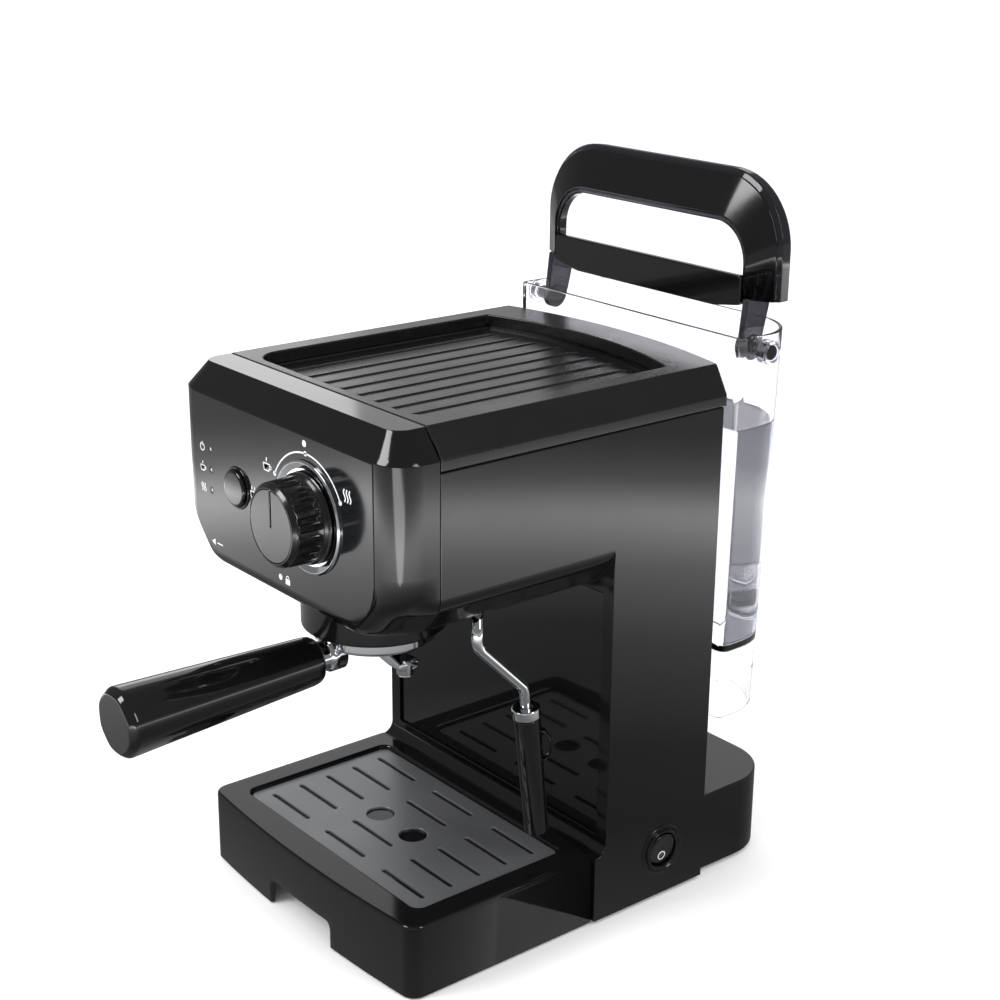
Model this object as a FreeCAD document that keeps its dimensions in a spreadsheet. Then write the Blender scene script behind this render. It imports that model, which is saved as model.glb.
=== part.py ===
"""A small pump espresso machine: C-shaped casing, brew group with a portafilter, steam wand,
drip tray and grate, and a lift-out water tank with a folding carrying handle.

Units are millimetres.  X points right for someone facing the machine, Y points to its back and
Z points up.  The floor is Z = 0, and X = 0 is the machine's middle plane.  Depths are named from
the seam between the front cover and the side shell, and the helper place_y() moves them to the
frame's origin, which lies on the floor under the middle of the machine's length.
"""
import FreeCAD
import Part
import math
import os
import re
import Sketcher
from FreeCAD import Rotation, Vector

doc = FreeCAD.newDocument("EspressoMachine")

# ---------------------------------------------------------------------------------------------
# Driving dimensions: alias, value and what it is
# ---------------------------------------------------------------------------------------------
SIZES = [
    ("body_wide", 185, "width of the casing"),
    ("body_high", 282, "floor to the top of the head"),
    ("head_front", 25.2, "seam to the front face of the head"),
    ("body_back", 175, "seam to the back of the column"),
    ("bay_back", 105, "seam to the front edges of the column"),
    ("sill_front", 98, "seam to the front of the column's foot"),
    ("sill_high", 38, "height of the sill behind the drip tray"),
    ("seam_high", 263, "height of the seam under the top frame"),
    ("bevel_high", 269, "height where the top bevel starts"),
    ("bevel_in", 11.1, "how far the top bevel leans in at the sides"),
    ("bevel_front", 9, "how far the top bevel leans back at the front"),
    ("slope_high", 199, "height where the head starts to narrow"),
    ("under_high", 181, "height of the head's underside"),
    ("under_in", 17, "how far the underside is narrower on each side"),
    ("under_round", 12, "radius of the underside's edges"),
    ("corner_round", 15, "radius of the head's front corners"),
    ("wall", 2.4, "wall of the moulded shells"),
    ("gap", 0.2, "gap at the seams between shells"),
    ("loose", 0.3, "gap between pieces that move past each other"),
    ("turning", 0.05, "radial clearance of a shaft in its hole"),
    ("top_bow", 14, "how far the top frame bows out behind the column"),
    ("top_back", 177, "seam to the back corners of the top frame"),
    ("recess_wide", 140, "width of the cup recess"),
    ("recess_front", 6, "seam to the front of the cup recess"),
    ("recess_back", 156, "seam to the back of the cup recess"),
    ("recess_bow", 13, "how far the cup recess bows out at the back"),
    ("recess_round", 14, "corner radius of the cup recess"),
    ("plate_high", 275, "height of the warming plate's floor"),
    ("panel_wide", 154, "width of the control panel"),
    ("panel_low", 188.5, "height of the control panel's lower edge"),
    ("panel_round", 22, "radius of the control panel's lower corners"),
    ("panel_thick", 1.2, "thickness of the control panel"),
    ("knob_x", 25, "middle plane to the knob's axis"),
    ("dial_high", 229.5, "height of the knob"),
    ("knob_r", 20, "radius of the knob"),
    ("knob_skirt_r", 22, "radius of the knob's skirt"),
    ("knob_out", 21, "how far the knob stands out"),
    ("ring_r", 27.4, "radius of the bright ring round the knob"),
    ("spindle_r", 3, "radius of the valve spindle"),
    ("button_x", -36, "middle plane to the button's axis"),
    ("button_high", 227.8, "height of the button"),
    ("button_r", 9.5, "radius of the button"),
    ("button_out", 3, "how far the button stands out"),
    ("button_travel", 2.5, "travel of the button"),
    ("lamp_x", -61, "middle plane to the lamps"),
    ("lamp_r", 1.5, "radius of a lamp lens"),
    ("lamp_step", 10.6, "distance between lamps"),
    ("switch_y", 144.7, "seam to the power switch's axis"),
    ("switch_high", 28.1, "height of the power switch's axis"),
    ("switch_r", 11.5, "radius of the power switch's flange"),
    ("rocker_r", 9, "radius of the switch's rocker"),
    ("rocker_tilt", 8, "tilt of the rocker at each end, in degrees"),
    ("base_wide", 177, "width of the rear base"),
    ("base_back", 236, "seam to the back of the rear base"),
    ("base_high", 46.5, "height of the rear base"),
    ("base_round", 30, "radius of the rear base's back corners"),
    ("foot_high", 2, "height of the rubber feet"),
    ("foot_r", 9, "radius of the rubber feet"),
    ("tray_wide", 181, "width of the drip tray"),
    ("tray_front", 15.8, "seam to the drip tray's front corners"),
    ("tray_bow", 5, "how far the drip tray's front bows out"),
    ("tray_back", 97.5, "seam to the back of the drip tray"),
    ("tray_high", 40, "height of the drip tray"),
    ("tray_round", 8, "radius of the drip tray's front corners"),
    ("basin_floor", 14, "height of the drip tray's floor"),
    ("notch_wide", 55, "width of the finger notch under the tray's front"),
    ("notch_high", 15, "height of the finger notch"),
    ("grate_wide", 152, "width of the drip grate"),
    ("grate_deep", 91, "depth of the drip grate"),
    ("grate_y", 43, "seam to the middle of the drip grate"),
    ("grate_high", 38, "height of the drip grate's top"),
    ("grate_thick", 1.2, "thickness of the grate's sheet"),
    ("slot_long", 34.5, "length of a grate slot"),
    ("slot_wide", 2.6, "width of a grate slot"),
    ("slot_step_x", 50.5, "distance between rows of slots across"),
    ("slot_step_y", 17.4, "distance between slots along a row"),
    ("cup_hole_r", 7.4, "radius of the two round holes in the grate"),
    ("cup_hole_x", 14.4, "middle plane to a round hole in the grate"),
    ("group_y", 29, "seam to the axis of the brew group"),
    ("group_low", 157, "height of the brew group's lower edge"),
    ("group_r", 37, "outer radius of the brew group"),
    ("group_in_r", 33, "inner radius of the brew group's skirt"),
    ("seal_high", 171, "height of the brew seal's lower face"),
    ("seal_thick", 8, "thickness of the brew seal"),
    ("bowl_r", 31, "radius of the portafilter's bowl"),
    ("bowl_low", 148.5, "height of the bowl's underside"),
    ("lug_reach", 32.4, "radius of the bayonet lugs"),
    ("spout_x", 25, "middle plane to each coffee spout"),
    ("spout_r", 4.3, "radius of a coffee spout"),
    ("spout_low", 136, "height of the spouts' lower ends"),
    ("grip_r_near", 12.3, "radius of the handle beside the bowl"),
    ("grip_r_far", 17.4, "radius of the handle at its far end"),
    ("grip_long", 117, "length of the handle"),
    ("grip_high", 145, "height of the handle's axis beside the bowl"),
    ("grip_fall", 1.5, "fall of the handle's axis, in degrees"),
    ("boiler_r", 31, "radius of the boiler"),
    ("boiler_low", 196, "height of the boiler's underside"),
    ("boiler_high", 42, "height of the boiler"),
    ("wand_x", 72, "middle plane to the steam wand"),
    ("wand_y", 37, "seam to the steam wand's swivel"),
    ("wand_bend_high", 164, "height of the wand's upper bend"),
    ("wand_knee_high", 134.5, "height of the wand's lower bend"),
    ("wand_reach", 29.5, "how far the wand steps back"),
    ("wand_lean", 6.6, "lean of the wand's lower part, in degrees"),
    ("wand_long", 76, "length of the wand below its lower bend"),
    ("wand_r", 2.8, "radius of the steam pipe"),
    ("sleeve_r", 7, "radius of the frothing sleeve at its top"),
    ("sleeve_tip_r", 6, "radius of the frothing sleeve at its tip"),
    ("sleeve_long", 66, "length of the frothing sleeve"),
    ("sleeve_start", 15.5, "lower bend to the top of the sleeve"),
    ("collar_r", 7.4, "radius of the bright collar"),
    ("collar_high", 6, "height of the bright collar"),
    ("tank_front", 192.5, "seam to the front of the water tank"),
    ("tank_back", 240, "seam to the back of the tank's rim"),
    ("tank_wide", 172, "width of the tank at its rim"),
    ("tank_taper", 3, "how much narrower each side is at the bottom"),
    ("tank_back_taper", 5, "how much shallower the tank is at the bottom"),
    ("tank_round", 30, "radius of the tank's back corners"),
    ("tank_high", 208, "height of the tank"),
    ("tank_skirt", 38, "height of the hollow skirt under the tank's floor"),
    ("tank_wall", 2.2, "wall of the tank"),
    ("tank_raise", 38.5, "how far the tank is lifted off its seat"),
    ("seat_y", 213, "seam to the tank valve's axis"),
    ("seat_r", 8, "radius of the valve seat on the base"),
    ("pivot_y", 209, "seam to the carrying handle's pivot"),
    ("pivot_down", 8, "rim to the carrying handle's pivot"),
    ("pin_r", 4, "radius of the carrying handle's pivot pins"),
    ("boss_r", 6.2, "radius of the tank's hollow pivot bosses"),
    ("boss_out", 5.5, "how far a pivot boss stands out of the tank"),
    ("arch_wide", 176, "width of the carrying handle"),
    ("arch_high", 87, "pivot to the top of the carrying handle"),
    ("arch_start", 24, "pivot to the lower ends of the arch"),
    ("arch_band", 18, "width of the arch's arms"),
    ("arch_top_band", 26, "width of the arch's top"),
    ("arch_front", 204, "seam to the arch's inner edge"),
    ("arch_slant", 11, "how far the arch's face slants back"),
    ("arch_round", 38, "outer corner radius of the arch"),
    ("arch_thick", 9, "thickness of the arch"),
    ("bridge_high", 18, "height of the bridge between the handle's arms"),
    ("leg_thick", 4, "thickness of the handle's legs"),
    ("leg_gap", 7, "tank wall to the handle's legs"),
    ("pump_x", 30, "middle plane to the pump's axis"),
    ("pump_y", 140, "seam to the pump's axis"),
]

sheet = doc.addObject("Spreadsheet::Sheet", "Sizes")
for line, (alias, size, meaning) in enumerate(SIZES, 1):
    sheet.set(f"A{line}", meaning)
    sheet.set(f"B{line}", str(size))
    sheet.setAlias(f"B{line}", alias)
doc.recompute()
ALIASES = {alias for alias, size, meaning in SIZES}

# The frame's origin, counted from the seam: half way between the handle's end and the tank's back.
ORIGIN_Y = "(tank_back - grip_long) / 2"


# ---------------------------------------------------------------------------------------------
# Helpers
# ---------------------------------------------------------------------------------------------
def bound(text):
    """The expression with each alias written as the sheet's cell."""
    return re.sub(r"[a-z_]+", lambda m: f"Sizes.{m[0]}" if m[0] in ALIASES else m[0], str(text))


def number(text):
    """The expression's present value."""
    return float(sheet.evalExpression(bound(text)))


def place_y(text):
    """A depth from the seam, counted from the frame's origin."""
    return f"({text}) - {ORIGIN_Y}"


def bind(thing, **places):
    """Ties properties to the sheet; an underscore in a name stands for a dot."""
    for name, text in places.items():
        thing.setExpression(name.replace("_", "."), bound(text))


def at(thing, x, y, z):
    """Puts a feature's base point at x, y from the seam, and z."""
    bind(thing, Placement_Base_x=x, Placement_Base_y=place_y(y), Placement_Base_z=z)
    return thing


def box(name, x, y, z):
    """A block between two values along each axis."""
    block = doc.addObject("Part::Box", name)
    bind(block, Length=f"({x[1]}) - ({x[0]})", Width=f"({y[1]}) - ({y[0]})", Height=f"({z[1]}) - ({z[0]})")
    return at(block, x[0], y[0], z[0])


AXIS_TURNS = {
    "X": Rotation(Vector(0, 1, 0), 90),
    "Y": Rotation(Vector(1, 0, 0), -90),
    "Z": Rotation(),
}


def rod(name, axis, start, radius, length):
    """A cylinder along an axis, from its start point towards the axis's positive end."""
    cylinder = doc.addObject("Part::Cylinder", name)
    cylinder.Placement.Rotation = AXIS_TURNS[axis]
    bind(cylinder, Radius=radius, Height=length)
    return at(cylinder, *start)


def cone(name, axis, start, radius, end_radius, length):
    """A cone frustum along an axis."""
    frustum = doc.addObject("Part::Cone", name)
    frustum.Placement.Rotation = AXIS_TURNS[axis]
    bind(frustum, Radius1=radius, Radius2=end_radius, Height=length)
    return at(frustum, *start)


def ring(name, axis, start, radius, bore, length):
    """A tube along an axis."""
    outside = rod(f"{name}_outside", axis, start, radius, length)
    return cut(name, outside, rod(f"{name}_bore", axis, start, bore, length))


def fuse(name, *parts):
    """Several pieces joined into one."""
    joined = doc.addObject("Part::MultiFuse", name)
    joined.Shapes = list(parts)
    joined.Refine = True
    return joined


def cut(name, base, *tools):
    """A piece with others taken away."""
    result = doc.addObject("Part::Cut", name)
    result.Base = base
    result.Tool = tools[0] if len(tools) == 1 else fuse(f"{name}_tools", *tools)
    result.Refine = True
    return result


def common(name, *parts):
    """What several pieces share."""
    shared = doc.addObject("Part::MultiCommon", name)
    shared.Shapes = list(parts)
    shared.Refine = True
    return shared


def group(name, *parts):
    """Separate solids that share one node."""
    together = doc.addObject("Part::Compound", name)
    together.Links = list(parts)
    return together


PLANE_TURNS = {
    "XY": Rotation(),
    "XZ": Rotation(Vector(1, 0, 0), 90),
    "YZ": Rotation(Vector(1, 1, 1), 120),
}
PLANE_NORMALS = {"XY": Vector(0, 0, 1), "XZ": Vector(0, 1, 0), "YZ": Vector(1, 0, 0)}


def corner_numbers(corner):
    """The present values of a corner: across, up and radius."""
    radius = number(corner[2]) if len(corner) > 2 else 0.0
    return Vector(number(corner[0]), number(corner[1]), 0), radius


def turning_way(corners):
    """Positive where the corners run counterclockwise."""
    points = [corner_numbers(corner)[0] for corner in corners]
    return sum(points[i - 1].cross(points[i]).z for i in range(len(points)))


def outline(name, plane, offset, corners):
    """A closed sketch.  A corner is (across, up) or (across, up, radius), each tied to the sheet."""
    if plane == "XY":
        corners = [(c[0], place_y(c[1]), *c[2:]) for c in corners]
    if plane == "YZ":
        corners = [(place_y(c[0]), *c[1:]) for c in corners]
    sketch = doc.addObject("Sketcher::SketchObject", name)
    sketch.Placement.Rotation = PLANE_TURNS[plane]
    along = {"XY": "Placement_Base_z", "XZ": "Placement_Base_y", "YZ": "Placement_Base_x"}[plane]
    bind(sketch, **{along: place_y(offset) if plane == "XZ" else offset})
    if turning_way(corners) < 0:
        corners = corners[::-1]
    points, radii = zip(*[corner_numbers(corner) for corner in corners])
    count = len(points)
    ways = [(points[(i + 1) % count] - points[i]).normalize() for i in range(count)]
    backs, arcs = [], []
    for i in range(count):
        turn = ways[i - 1].getAngle(ways[i])
        backs.append(radii[i] * math.tan(turn / 2))
    for i in range(count):
        start = points[i] + ways[i] * backs[i]
        end = points[(i + 1) % count] - ways[i] * backs[(i + 1) % count]
        sketch.addGeometry(Part.LineSegment(start, end), False)
    for i in range(count):
        if radii[i]:
            before = points[i] - ways[i - 1] * backs[i]
            after = points[i] + ways[i] * backs[i]
            middle_way = (ways[i] - ways[i - 1]).normalize()
            half = ways[i - 1].getAngle(ways[i]) / 2
            middle = points[i] + middle_way * radii[i] * (1 / math.cos(half) - 1)
            arcs.append(sketch.addGeometry(Part.Arc(before, middle, after), False))
        else:
            arcs.append(None)
    for i in range(count):
        tie_corner(sketch, corners[i], (i - 1) % count, i, arcs[i], points[i], radii[i])
    return sketch


def tie_corner(sketch, corner, before, after, arc, point, radius):
    """Constrains one corner of an outline to the sheet."""
    if arc is None:
        sketch.addConstraint(Sketcher.Constraint("Coincident", before, 2, after, 1))
        held, spot = after, 1
    else:
        first = (sketch.Geometry[arc].StartPoint - sketch.Geometry[before].EndPoint).Length < 1e-6
        near, far = (1, 2) if first else (2, 1)
        sketch.addConstraint(Sketcher.Constraint("Tangent", before, 2, arc, near))
        sketch.addConstraint(Sketcher.Constraint("Tangent", arc, far, after, 1))
        rounding = sketch.addConstraint(Sketcher.Constraint("Radius", arc, radius))
        sketch.setExpression(f"Constraints[{rounding}]", bound(corner[2]))
        held, spot = sketch.addGeometry(Part.Point(point), True), 1
        sketch.addConstraint(Sketcher.Constraint("PointOnObject", held, 1, before))
        sketch.addConstraint(Sketcher.Constraint("PointOnObject", held, 1, after))
    for kind, text, value in (("DistanceX", corner[0], point.x), ("DistanceY", corner[1], point.y)):
        distance = sketch.addConstraint(Sketcher.Constraint(kind, -1, 1, held, spot, value))
        sketch.setExpression(f"Constraints[{distance}]", bound(text))


def prism(name, plane, start, end, corners):
    """An outline pushed from one value to another along the plane's normal."""
    sketch = outline(f"{name}_outline", plane, start, corners)
    pushed = doc.addObject("Part::Extrusion", name)
    pushed.Base = sketch
    pushed.DirMode = "Custom"
    pushed.Dir = PLANE_NORMALS[plane]
    pushed.Solid = True
    bind(pushed, LengthFwd=f"({end}) - ({start})")
    return pushed


def loft(name, sections):
    """A straight-sided solid between flat outlines: (height, corners) from the lowest up."""
    body = doc.addObject("Part::Loft", name)
    body.Sections = [outline(f"{name}_{i}", "XY", z, corners) for i, (z, corners) in enumerate(sections)]
    body.Solid = True
    body.Ruled = True
    return body


def rounded(name, base, radius, picked):
    """A piece with the picked edges filleted."""
    doc.recompute()
    size = number(radius)
    smooth = doc.addObject("Part::Fillet", name)
    smooth.Base = base
    smooth.Edges = [(i, size, size) for i, edge in enumerate(base.Shape.Edges, 1) if picked(edge)]
    return smooth


def turned(name, start, profile):
    """A profile of (radius, height) corners turned about a vertical axis through start."""
    sketch = outline(f"{name}_outline", "XZ", ORIGIN_Y, profile)
    lathe = doc.addObject("Part::Revolution", name)
    lathe.Source = sketch
    lathe.Axis = Vector(0, 0, 1)
    lathe.Angle = 360
    lathe.Solid = True
    return at(lathe, *start)


def bent_tube(name, route, bend, radius, bore=None):
    """A round tube along straight runs joined by tangent arcs; route is (x, y from seam, z)."""
    spots = [Vector(number(x), number(place_y(y)), number(z)) for x, y, z in route]
    reach = number(bend)
    edges, here = [], spots[0]
    for i in range(1, len(spots) - 1):
        into = (spots[i] - spots[i - 1]).normalize()
        out = (spots[i + 1] - spots[i]).normalize()
        half = into.getAngle(out) / 2
        before = spots[i] - into * reach * math.tan(half)
        after = spots[i] + out * reach * math.tan(half)
        middle = spots[i] + (out - into).normalize() * reach * (1 / math.cos(half) - 1)
        edges += [Part.LineSegment(here, before).toShape(), Part.Arc(before, middle, after).toShape()]
        here = after
    edges.append(Part.LineSegment(here, spots[-1]).toShape())
    path = Part.Wire(edges)
    way = (spots[1] - spots[0]).normalize()

    def swept(size):
        circle = Part.Wire([Part.Circle(spots[0], way, size).toShape()])
        return path.makePipeShell([circle], True, True)

    tube = doc.addObject("Part::Feature", name)
    solid = swept(number(radius))
    tube.Shape = solid.cut(swept(number(bore))) if bore else solid
    return tube


def mirror_x(name, source):
    """The same piece on the other side of the middle plane."""
    other = doc.addObject("Part::Mirroring", name)
    other.Source = source
    other.Normal = Vector(1, 0, 0)
    return other


NODES = []


def node(thing, name):
    """Names a finished sub-part."""
    thing.Label = name
    NODES.append(thing)
    return thing


HALF = "body_wide / 2"


# ---------------------------------------------------------------------------------------------
# Shells of the machine
# ---------------------------------------------------------------------------------------------
def head_section(less=0):
    """The head's outline across the machine, shrunk by a margin: a box narrowing to its underside."""
    return [
        (f"{HALF} - {less}", f"seam_high - {less}"),
        (f"{HALF} - {less}", f"slope_high + {less}/3", "under_round"),
        (f"{HALF} - under_in - {less}", f"under_high + {less}", "under_round"),
        (f"-({HALF} - under_in - {less})", f"under_high + {less}", "under_round"),
        (f"-({HALF} - {less})", f"slope_high + {less}/3", "under_round"),
        (f"-({HALF} - {less})", f"seam_high - {less}"),
    ]


column = prism("column", "YZ", f"-{HALF}", HALF, [
    ("sill_front", "foot_high"), ("body_back", "foot_high"), ("body_back", "seam_high"),
    ("bay_back", "seam_high"), ("bay_back", "sill_high"), ("sill_front", "sill_high"),
])
SILL_ROUND = "((bay_back - sill_front) * 0.95)"
sill_fill = cut("sill_fill",
                box("sill_block", (f"-{HALF}", HALF), (f"bay_back - {SILL_ROUND}", "bay_back + 1"),
                    ("sill_high - 1", f"sill_high + {SILL_ROUND}")),
                rod("sill_curve", "X",
                    (f"-{HALF} - 1", f"bay_back - {SILL_ROUND}", f"sill_high + {SILL_ROUND}"),
                    SILL_ROUND, "body_wide + 2"))
head_block = prism("head_block", "XZ", "0", "bay_back + 3", head_section())
shell_outside = fuse("shell_outside", column, sill_fill, head_block)
head_hollow = prism("head_hollow", "XZ", "-5", "bay_back + 8", [
    (c[0], c[1] if i % 5 else "seam_high + 5", *c[2:]) for i, c in enumerate(head_section("wall"))
])
column_hollow = box("column_hollow", (f"wall - {HALF}", f"{HALF} - wall"),
                    ("bay_back + 5.5", "body_back + 5"), ("foot_high - 5", "seam_high + 5"))
foot_hollow = box("foot_hollow", (f"wall - {HALF}", f"{HALF} - wall"),
                  ("sill_front + wall", "bay_back + 6"), ("foot_high - 5", "sill_high - wall"))
splash_pocket = box("splash_pocket", (f"8 - {HALF}", f"{HALF} - 8"),
                    ("bay_back - 3", "bay_back + 3"), ("sill_high + 9", "under_high - 2"))
group_opening = rod("group_opening", "Z", ("0", "group_y", "under_high - 8"), "group_r + 2", "20")
wand_opening = rod("wand_opening", "Z", ("wand_x", "wand_y", "under_high - 8"), "8", "30")
switch_opening = rod("switch_opening", "X", (f"{HALF} - 6", "switch_y", "switch_high"), "switch_r - 1", "12")
side_shell = node(cut("SideShell", shell_outside, head_hollow, column_hollow, foot_hollow, splash_pocket,
                      group_opening, wand_opening, switch_opening), "side_shell")

splash_panel = node(box("SplashPanel", (f"8.2 - {HALF}", f"{HALF} - 8.2"),
                        ("bay_back + 1.5", "bay_back + 2.8"), ("sill_high + 9.2", "under_high - 2.2")),
                    "splash_panel")

def front_corner(edge):
    """True for the upright front corners of a front-cover block."""
    frame = edge.BoundBox
    upright = frame.XLength < 1 and frame.YLength < 1 and frame.ZLength > 20
    return upright and frame.YMax < number(place_y(-10))


front_outside = rounded("front_outside", prism("front_block", "XZ", "-head_front", "-gap", [
    (HALF, "bevel_high"), *head_section()[1:5], (f"-{HALF}", "bevel_high"),
    ("bevel_in - body_wide/2", "body_high"), ("body_wide/2 - bevel_in", "body_high"),
]), "corner_round", front_corner)
front_slope = prism("front_slope", "YZ", "-body_wide", "body_wide", [
    ("-head_front - 5", "bevel_high - 0.01"), ("-head_front", "bevel_high"),
    ("bevel_front - head_front", "body_high"), ("bevel_front - head_front", "body_high + 5"),
    ("-head_front - 5", "body_high + 5"),
])
front_core = prism("front_core", "XZ", "panel_thick + 2.6 - head_front", "5", [
    ("body_wide/2 - 3", "bevel_high - 5"), *head_section(3)[1:5], ("3 - body_wide/2", "bevel_high - 5"),
    ("bevel_in + 2 - body_wide/2", "body_high - 3"), ("body_wide/2 - bevel_in - 2", "body_high - 3"),
])
front_hollow = rounded("front_hollow", front_core, "corner_round - 1", front_corner)
front_hollow_slope = prism("front_hollow_slope", "YZ", "-body_wide", "body_wide", [
    ("-head_front - 5", "bevel_high - 6"), ("3 - head_front", "bevel_high - 6"),
    ("bevel_front + 4 - head_front", "body_high - 2"), ("-head_front - 5", "body_high - 2"),
])


def panel_outline(less):
    """The control panel's outline, shrunk by a margin."""
    return [
        (f"panel_wide/2 - {less}", "bevel_high - 0.6"),
        (f"panel_wide/2 - {less}", f"panel_low + {less}", "panel_round"),
        (f"{less} - panel_wide/2", f"panel_low + {less}", "panel_round"),
        (f"{less} - panel_wide/2", "bevel_high - 0.6"),
    ]


panel_pocket = prism("panel_pocket", "XZ", "-head_front - 5", "panel_thick + 0.1 - head_front",
                     panel_outline(0))
front_group = rod("front_group", "Z", ("0", "group_y", "under_high - 8"), "group_r + 2", "20")
front_flange = rod("front_flange", "Z", ("0", "group_y", "under_high + wall + 0.5"), "group_r + 7", "15")


def dial_hole(name, x, radius, high="dial_high"):
    """A hole through the front, at the height of the knob unless another height is given."""
    return rod(name, "Y", (x, "-head_front - 10", high), radius, "30")


def lamp_rods(name, radius, start, length):
    """Three short rods in a column at the lamps."""
    return [rod(f"{name}_{i}", "Y", ("lamp_x", start, f"dial_high + 1 + {i - 1} * lamp_step"), radius, length)
            for i in range(3)]


front_cover = node(cut("FrontCover", front_outside, front_slope,
                       cut("front_inside", front_hollow, front_hollow_slope), panel_pocket,
                       front_group, front_flange,
                       dial_hole("knob_hole", "knob_x", "ring_r - 6"),
                       dial_hole("button_hole", "button_x", "button_r + 1.6", "button_high"),
                       *lamp_rods("lamp_hole", "lamp_r + 0.4", "-head_front - 5", "20")), "front_cover")
control_panel = node(cut("ControlPanel", prism("panel_block", "XZ", "-head_front - 0.1",
                                               "panel_thick - head_front", panel_outline("0.15")),
                         dial_hole("panel_knob_hole", "knob_x", "ring_r - 6"),
                         dial_hole("panel_button_hole", "button_x", "button_r + 1.6", "button_high"),
                         *lamp_rods("panel_lamp_hole", "lamp_r + 0.3", "-head_front - 5", "20")),
                     "control_panel")

TOP_FOOT = "seam_high + gap"


def bowed(name, low, high, half, flat, edge, bow, side=1, rounding=None):
    """A plate whose edge at depth `edge` bows out by `bow` in its middle, to the back or the front."""
    extra = (rounding,) if rounding else ()
    block = prism(f"{name}_block", "XY", low, high, [
        (half, flat, *extra), (f"-({half})", flat, *extra),
        (f"-({half})", f"{edge} + {side} * {bow} * 1.2"), (half, f"{edge} + {side} * {bow} * 1.2"),
    ])
    reach = f"((({half})^2 + ({bow})^2) / (2 * ({bow})))"
    disc = rod(f"{name}_disc", "Z", ("0", f"{edge} + {side} * ({bow} - {reach})", low), reach,
               f"({high}) - ({low})")
    return common(name, block, disc)


top_block = bowed("top_block", TOP_FOOT, "body_high", HALF, "gap", "top_back", "top_bow")
top_bevels = prism("top_bevels", "XZ", "-20", "body_back + 60", [
    (HALF, "seam_high - 5"), (HALF, "bevel_high"),
    ("body_wide/2 - bevel_in", "body_high"), ("bevel_in - body_wide/2", "body_high"),
    (f"-{HALF}", "bevel_high"), (f"-{HALF}", "seam_high - 5"),
])


def recess(name, low, high, less):
    """The cup recess, shrunk by a margin, between two heights."""
    return bowed(name, low, high, f"recess_wide/2 - ({less})", f"recess_front + {less}",
                 f"recess_back - ({less})", "recess_bow", 1, "recess_round")


top_underside = box("top_underside", (f"4 - {HALF}", f"{HALF} - 4"), ("-3", "body_back - 3"),
                    ("seam_high - 5", "plate_high - 3"))
top_frame = node(cut("TopFrame", common("top_shape", top_block, top_bevels), top_underside,
                     recess("recess_hole", "plate_high - 10", "body_high + 5", "0")), "top_frame")

plate_sheet = recess("plate_sheet", "plate_high - 1.6", "plate_high", "loose")
plate_rim = cut("plate_rim", recess("plate_wall", "plate_high - 1.6", "body_high - 1.6", "loose"),
                recess("plate_inside", "plate_high - 5", "body_high + 5", "loose + 1.4"))
RIBS = 9
plate_ribs = [
    box(f"plate_rib_{i}", (f"{i - RIBS // 2} * recess_wide / 10 - 1.4",
                             f"{i - RIBS // 2} * recess_wide / 10 + 1.4"),
        ("recess_front + 14", "recess_back - 8"), ("plate_high - 0.2", "plate_high + 1.6"))
    for i in range(RIBS)
]
warming_plate = node(fuse("WarmingPlate", plate_sheet, plate_rim, *plate_ribs), "warming_plate")

rear_panel = node(box("RearPanel", ("wall + 0.3 - body_wide/2", "body_wide/2 - wall - 0.3"),
                      ("body_back - 2", "body_back - 0.1"), ("base_high + 1", "seam_high - 4")), "rear_panel")

# ---------------------------------------------------------------------------------------------
# Base, feet, drip tray and grate
# ---------------------------------------------------------------------------------------------
FLOOR = ("foot_high + 0.2", "foot_high + wall + 0.2")


def base_outline(less, front):
    """The rear base's outline, shrunk by a margin, with square front corners."""
    half, back, bend = f"(base_wide/2 - {less})", f"base_back - {less}", f"base_round - {less}"
    return [(half, front), (half, back, bend), (f"-{half}", back, bend), (f"-{half}", front)]


base_block = prism("base_block", "XY", FLOOR[0], "base_high", base_outline(0, "body_back + gap"))
base_hollow = prism("base_hollow", "XY", FLOOR[1], "base_high - wall", base_outline("wall", "body_back - 5"))
base_deck = box("base_deck", (f"wall + loose - {HALF}", f"{HALF} - wall - loose"),
                ("bay_back + 6", "body_back + 1"), FLOOR)
base_tongue = box("base_tongue", ("-60", "60"), ("8", "bay_back + 8"), FLOOR)
seat_post = rod("seat_post", "Z", ("0", "seat_y", "base_high - wall"), "seat_r + 2", "22")
seat_bore = rod("seat_bore", "Z", ("0", "seat_y", "base_high - wall - 5"), "seat_r", "40")
gland_hole = rod("gland_hole", "Y", ("-50", "base_back - 10", "16"), "6.2", "20")
base = node(cut("Base", fuse("base_shape", cut("base_shell", base_block, base_hollow), base_deck,
                             base_tongue, seat_post), seat_bore, gland_hole), "base")
tank_seal = node(ring("TankSeal", "Z", ("0", "seat_y", "base_high - wall - 2"), "seat_r - 0.1", "4", "4"),
                 "tank_seal")
gland_body = ring("gland_body", "Y", ("-50", "base_back - 8", "16"), "6.1", "3.6", "8")
gland_flange = ring("gland_flange", "Y", ("-50", "base_back - wall - 1.6", "16"), "9", "3.6", "1.5")
cord_gland = node(fuse("CordGland", gland_body, gland_flange), "cord_gland")
feet = node(group("Feet", *[
    rod(f"foot_{i}", "Z", (x, y, "0"), "foot_r", "foot_high + 0.2")
    for i, (x, y) in enumerate([("-48", "20"), ("48", "20"), ("-68", "214"), ("68", "214")])
]), "feet")

side_shell_slot = box("side_shell_slot", ("-61", "61"), ("sill_front - 1", "sill_front + wall + 1"),
                      ("foot_high - 1", "foot_high + wall + 1"))
side_shell.Tool.Shapes = side_shell.Tool.Shapes + [side_shell_slot]

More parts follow.
